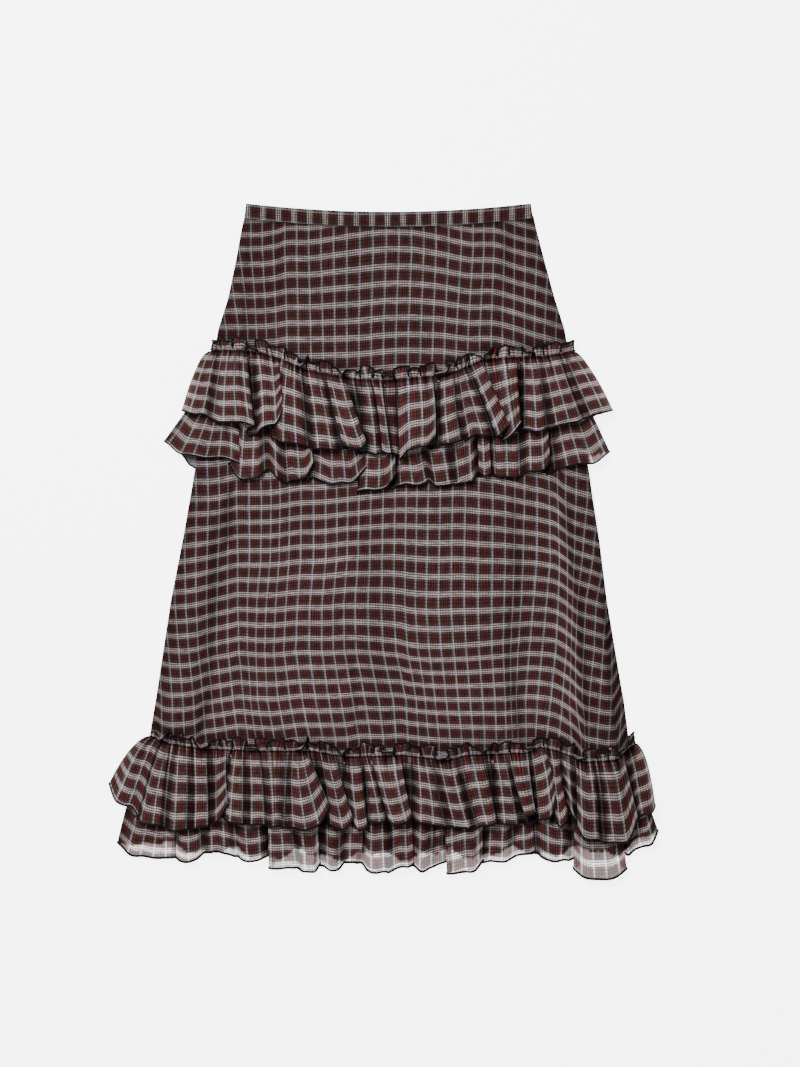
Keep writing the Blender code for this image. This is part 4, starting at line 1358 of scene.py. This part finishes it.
def stripe_ramp(tree, factor, stripes, cloth):
    """Colour of a repeat's stripes at this share of it, with short turns between them."""
    ramp = add_node(tree, "ShaderNodeValToRGB", {"Fac": factor})
    marks = ramp.color_ramp.elements
    for mark, position, stripe in ((marks[0], 0.0, stripes[0]), (marks[1], 1.0, stripes[-1])):
        mark.position = position
        mark.color = (*getattr(cloth, stripe.colour), 1.0)
    for here, there in zip(stripes[:-1], stripes[1:]):
        for side, stripe in ((-STRIPE_BLUR, here), (STRIPE_BLUR, there)):
            marks.new(here.end + side).color = (*getattr(cloth, stripe.colour), 1.0)
    return ramp.outputs["Color"]


def weave_group(cloth):
    """The checked weave: warps and wefts in equal parts, streaky as thin yarns are, with its relief."""
    known = bpy.data.node_groups.get("checked weave")
    if known:
        return known
    tree = bpy.data.node_groups.new("checked weave", "ShaderNodeTree")
    for name, side, kind in (
        ("Counts", "INPUT", "Vector"),
        ("Shade", "INPUT", "Float"),
        ("Fade", "INPUT", "Float"),
        ("Color", "OUTPUT", "Color"),
        ("Relief", "OUTPUT", "Float"),
        ("Density", "OUTPUT", "Float"),
    ):
        tree.interface.new_socket(name=name, in_out=side, socket_type="NodeSocket" + kind)
    given = tree.nodes.new("NodeGroupInput").outputs
    result = tree.nodes.new("NodeGroupOutput")
    split = add_node(tree, "ShaderNodeSeparateXYZ", {0: given["Counts"]}).outputs
    streaks, yarns = [], []
    for position, crossing, stripes, stretch in (
        (split["X"], split["Y"], WARP_STRIPES, WARP_STREAKS),
        (split["Y"], split["X"], WEFT_STRIPES, WEFT_STREAKS),
    ):
        colours = stripe_ramp(tree, add_math(tree, "FRACT", position), stripes, cloth)
        stretched = add_vector(tree, "MULTIPLY", {0: given["Counts"], 1: stretch})
        streak = add_math(tree, "MULTIPLY_ADD", add_noise(tree, stretched, 1.0, 2.0), 3.0, -0.5)
        bead = add_math(tree, "SINE", add_math(tree, "MULTIPLY", crossing, TURN * BEADS))
        bead = add_math(tree, "MULTIPLY_ADD", bead, BEAD_SHINE, 1.0)
        strength = add_math(tree, "MULTIPLY", streak, bead)
        yarns.append(add_vector(tree, "SCALE", {0: colours, "Scale": strength}))
        streaks.append(streak)
    woven = add_mix(tree, "VECTOR", 0.5, *yarns)
    cloudy = add_math(tree, "MULTIPLY_ADD", add_noise(tree, given["Counts"], 0.23, 2.0), 0.3, 0.85)
    # The Shade input is painted shade and highlight, multiplied into the woven colour
    lit = add_math(tree, "MULTIPLY", cloudy, given["Shade"])
    shaded = add_vector(tree, "SCALE", {0: woven, "Scale": lit})
    faded = add_mix(tree, "RGBA", given["Fade"], shaded, (*cloth.reverse, 1.0))
    fine = add_noise(tree, given["Counts"], 9.0, 3.0)
    relief = add_math(tree, "ADD", fine, add_math(tree, "MULTIPLY", streaks[0], 0.25))
    bright = add_node(tree, "ShaderNodeRGBToBW", {0: woven}).outputs[0]
    set_inputs(tree, result, {"Color": faded, "Relief": relief, "Density": bright})
    return tree


def new_material(name):
    """A new material of this name, and its node tree and shader."""
    material = bpy.data.materials.new(name)
    material.use_nodes = True
    return material, material.node_tree, material.node_tree.nodes["Principled BSDF"]


def chiffon_material(name, fade, cloth):
    """Checked chiffon, with painted shade. Where the sheer attribute is 1 one layer lies alone, and the
    floor shows through it, and its colour is painted paler, as painted light from the floor.
    """
    known = bpy.data.materials.get(name)
    if known:
        return known
    material, tree, shader = new_material(name)
    counts = add_node(tree, "ShaderNodeUVMap", uv_map="check").outputs["UV"]
    shade = add_node(tree, "ShaderNodeAttribute", attribute_name="shade").outputs["Fac"]
    sheer = add_node(tree, "ShaderNodeAttribute", attribute_name="sheer").outputs["Fac"]
    weave = add_node(tree, "ShaderNodeGroup", node_tree=weave_group(cloth))
    set_inputs(tree, weave, {"Counts": counts, "Shade": shade, "Fade": fade})
    colours = weave.outputs["Color"]
    # Painted light from the floor through a single layer: the check three times paler
    pale = add_vector(tree, "MULTIPLY_ADD", {0: colours, 1: (3.0, 3.0, 3.0), 2: (0.04, 0.04, 0.04)})
    thin = add_math(tree, "MULTIPLY_ADD", weave.outputs["Density"], -PALE_THIN, cloth.sheer_alpha)
    lost = add_math(tree, "SUBTRACT", 1.0, add_math(tree, "MAXIMUM", thin, LEAST_ALPHA))
    set_inputs(tree, shader, {
        "Base Color": add_mix(tree, "RGBA", sheer, colours, pale),
        "Normal": add_bump(tree, weave.outputs["Relief"], 0.35, 0.0004),
        "Alpha": add_math(tree, "SUBTRACT", 1.0, add_math(tree, "MULTIPLY", lost, sheer)),
        "Roughness": 0.82,
        "Specular IOR Level": 0.035,
        "Sheen Weight": 0.008,
        "Sheen Roughness": 0.45,
    })
    return material


def edging_material(cloth):
    """The dark thread of the rolled edges."""
    known = bpy.data.materials.get("rolled edge")
    if known:
        return known
    material, tree, shader = new_material("rolled edge")
    noise = add_noise(tree, add_node(tree, "ShaderNodeTexCoord").outputs["Object"], 700.0, 2.0)
    tones = [(*[share * c for c in cloth.edging], 1.0) for share in EDGING_TONES]
    set_inputs(tree, shader, {
        "Base Color": add_mix(tree, "RGBA", noise, *tones),
        "Normal": add_bump(tree, noise, 0.3, 0.0003),
        "Roughness": 0.85,
        "Specular IOR Level": 0.03,
    })
    return material


def place(item, nodes=()):
    """Puts a finished piece on the frame and in the place of its solids."""
    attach(item, "root")
    if nodes:
        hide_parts(*nodes)


def build_layer(layer, scene):
    """Both halves of a ruffle layer with their rolled edges."""
    cloth, form = scene.skirt_cloth, scene.skirt_form
    right_side = chiffon_material("ruffle chiffon", 0.0, cloth)
    wrong_side = chiffon_material("ruffle chiffon reverse", REVERSE_FADE, cloth)
    edging = edging_material(cloth)
    halves = (
        ("front", front_ruffle_form(layer, form, cloth)),
        ("back", back_ruffle_form(layer, cloth)),
    )
    for half, made in halves:
        name = f"{layer.name}_{half}"
        sides = (right_side, wrong_side) if half == "front" else (wrong_side, right_side)
        piece = cloth_object(name + "_chiffon", made, sides, form.cloth)
        radius = form.edge_radius / MM
        lowest = half == "front" and layer is HEM_LAYERS[-1]
        roll = radius * (BOTTOM_ROLL if lowest else 1.0)
        edges = [rolled_edge(name + "_hem_edge", made[0][-1], roll, edging)]
        if layer.is_top:
            edges.append(rolled_edge(name + "_heading_edge", made[0][0], radius, edging))
        place(piece, [name])
        for edge in edges:
            place(edge)


class SKIRT_OT_body(bpy.types.Operator):
    """Makes the front and back panels of the body."""

    bl_idname = "skirt.body"
    bl_label = "Body panels"

    def execute(self, context):
        cloth, form = context.scene.skirt_cloth, context.scene.skirt_form
        right_side = chiffon_material("body chiffon", 0.0, cloth)
        wrong_side = chiffon_material("body chiffon reverse", REVERSE_FADE, cloth)
        sides = (right_side, wrong_side)
        front = cloth_object("front_panel_chiffon", front_panel_form(), sides, form.cloth)
        back = cloth_object("back_panel_chiffon", back_panel_form(cloth), sides[::-1], form.cloth)
        place(front, ["front_panel"])
        place(back, ["back_panel"])
        return {"FINISHED"}


class SKIRT_OT_waistband(bpy.types.Operator):
    """Makes the front and back halves of the waistband."""

    bl_idname = "skirt.waistband"
    bl_label = "Waistband"

    def execute(self, context):
        cloth = context.scene.skirt_cloth
        sides = (chiffon_material("band chiffon", 0.0, cloth),)
        lower = waistband_form(0.5 * BAND_WALL, 0.0, cloth)
        upper = waistband_form(1.5 * BAND_WALL + SEAM, BAND_CROWN, cloth)
        back = waistband_object("waistband_back_strip", lower, sides)
        front = waistband_object("waistband_front_strip", upper, sides)
        place(back, ["waistband_back"])
        place(front, ["waistband_front"])
        return {"FINISHED"}


class SKIRT_OT_hip_ruffles(bpy.types.Operator):
    """Makes the ruffle layers gathered onto the hip."""

    bl_idname = "skirt.hip_ruffles"
    bl_label = "Hip ruffles"

    def execute(self, context):
        for layer in HIP_LAYERS:
            build_layer(layer, context.scene)
        return {"FINISHED"}


class SKIRT_OT_hem_ruffles(bpy.types.Operator):
    """Makes the ruffle layers gathered onto the bottom edge."""

    bl_idname = "skirt.hem_ruffles"
    bl_label = "Hem ruffles"

    def execute(self, context):
        for layer in HEM_LAYERS:
            build_layer(layer, context.scene)
        return {"FINISHED"}


class SKIRT_OT_stage(bpy.types.Operator):
    """Makes the pale floor, the soft lights and the camera."""

    bl_idname = "skirt.stage"
    bl_label = "Stage"

    def execute(self, context):
        scene = context.scene
        stage = scene.skirt_stage
        corners = FLOOR_HALF * np.array([[-1, -1, 0], [1, -1, 0], [1, 1, 0], [-1, 1, 0]])
        floor = new_mesh_object("floor", corners, np.array([[0, 1, 2, 3]]))
        material, tree, shader = new_material("pale floor")
        set_inputs(tree, shader, {
            "Base Color": (*stage.floor, 1.0),
            "Roughness": 0.9,
            "Specular IOR Level": 0.1,
            "Emission Color": (*stage.floor, 1.0),
            "Emission Strength": stage.glow,
        })
        floor.data.materials.append(material)
        world = bpy.data.worlds.new("soft sky")
        world.use_nodes = True
        white = (1.0, 1.0, 1.0, 1.0)
        sky = world.node_tree.nodes["Background"]
        set_inputs(world.node_tree, sky, {"Color": white, "Strength": stage.sky})
        scene.world = world
        for row, power in zip(LAMPS, (stage.key_power, stage.fill_power)):
            light = bpy.data.lights.new(row.name, "AREA")
            light.energy = power
            light.size = row.size
            lamp = bpy.data.objects.new(row.name, light)
            scene.collection.objects.link(lamp)
            lamp.location = row.spot
            aim = -np.array(row.spot)
            flat = np.hypot(aim[0], aim[1])
            turned = np.arctan2(aim[1], aim[0]) - 0.25 * TURN
            lamp.rotation_euler = (np.arctan2(flat, -aim[2]), 0.0, turned)
        camera = bpy.data.cameras.new("camera")
        camera.lens = stage.lens
        camera.sensor_width = SENSOR
        viewer = bpy.data.objects.new("camera", camera)
        scene.collection.objects.link(viewer)
        viewer.location = (*CAMERA_SPOT, stage.camera_height)
        scene.camera = viewer
        return {"FINISHED"}


OPERATORS = (
    SKIRT_OT_body,
    SKIRT_OT_waistband,
    SKIRT_OT_hip_ruffles,
    SKIRT_OT_hem_ruffles,
    SKIRT_OT_stage,
)


class SKIRT_PT_panel(bpy.types.Panel):
    """Lists the skirt's sizes, colours and operators."""

    bl_idname = "SKIRT_PT_panel"
    bl_label = "Tiered ruffle skirt"
    bl_space_type = "VIEW_3D"
    bl_region_type = "UI"
    bl_category = "Skirt"

    def draw(self, context):
        scene = context.scene
        for settings in (scene.skirt_cloth, scene.skirt_form, scene.skirt_stage):
            box = self.layout.box()
            for name in settings.__annotations__:
                box.prop(settings, name)
        for operator in OPERATORS:
            self.layout.operator(operator.bl_idname)


CLASSES = (SkirtCloth, SkirtForm, SkirtStage, *OPERATORS, SKIRT_PT_panel)


def register():
    """Registers the classes and their settings on the scene."""
    for item in CLASSES:
        bpy.utils.register_class(item)
    bpy.types.Scene.skirt_cloth = bpy.props.PointerProperty(type=SkirtCloth)
    bpy.types.Scene.skirt_form = bpy.props.PointerProperty(type=SkirtForm)
    bpy.types.Scene.skirt_stage = bpy.props.PointerProperty(type=SkirtStage)


def unregister():
    """Takes the settings and the classes away again."""
    del bpy.types.Scene.skirt_stage
    del bpy.types.Scene.skirt_form
    del bpy.types.Scene.skirt_cloth
    for item in reversed(CLASSES):
        bpy.utils.unregister_class(item)


def main():
    """Builds every piece and the stage."""
    register()
    bpy.ops.skirt.body()
    bpy.ops.skirt.waistband()
    bpy.ops.skirt.hip_ruffles()
    bpy.ops.skirt.hem_ruffles()
    bpy.ops.skirt.stage()


if __name__ == "__main__":
    main()
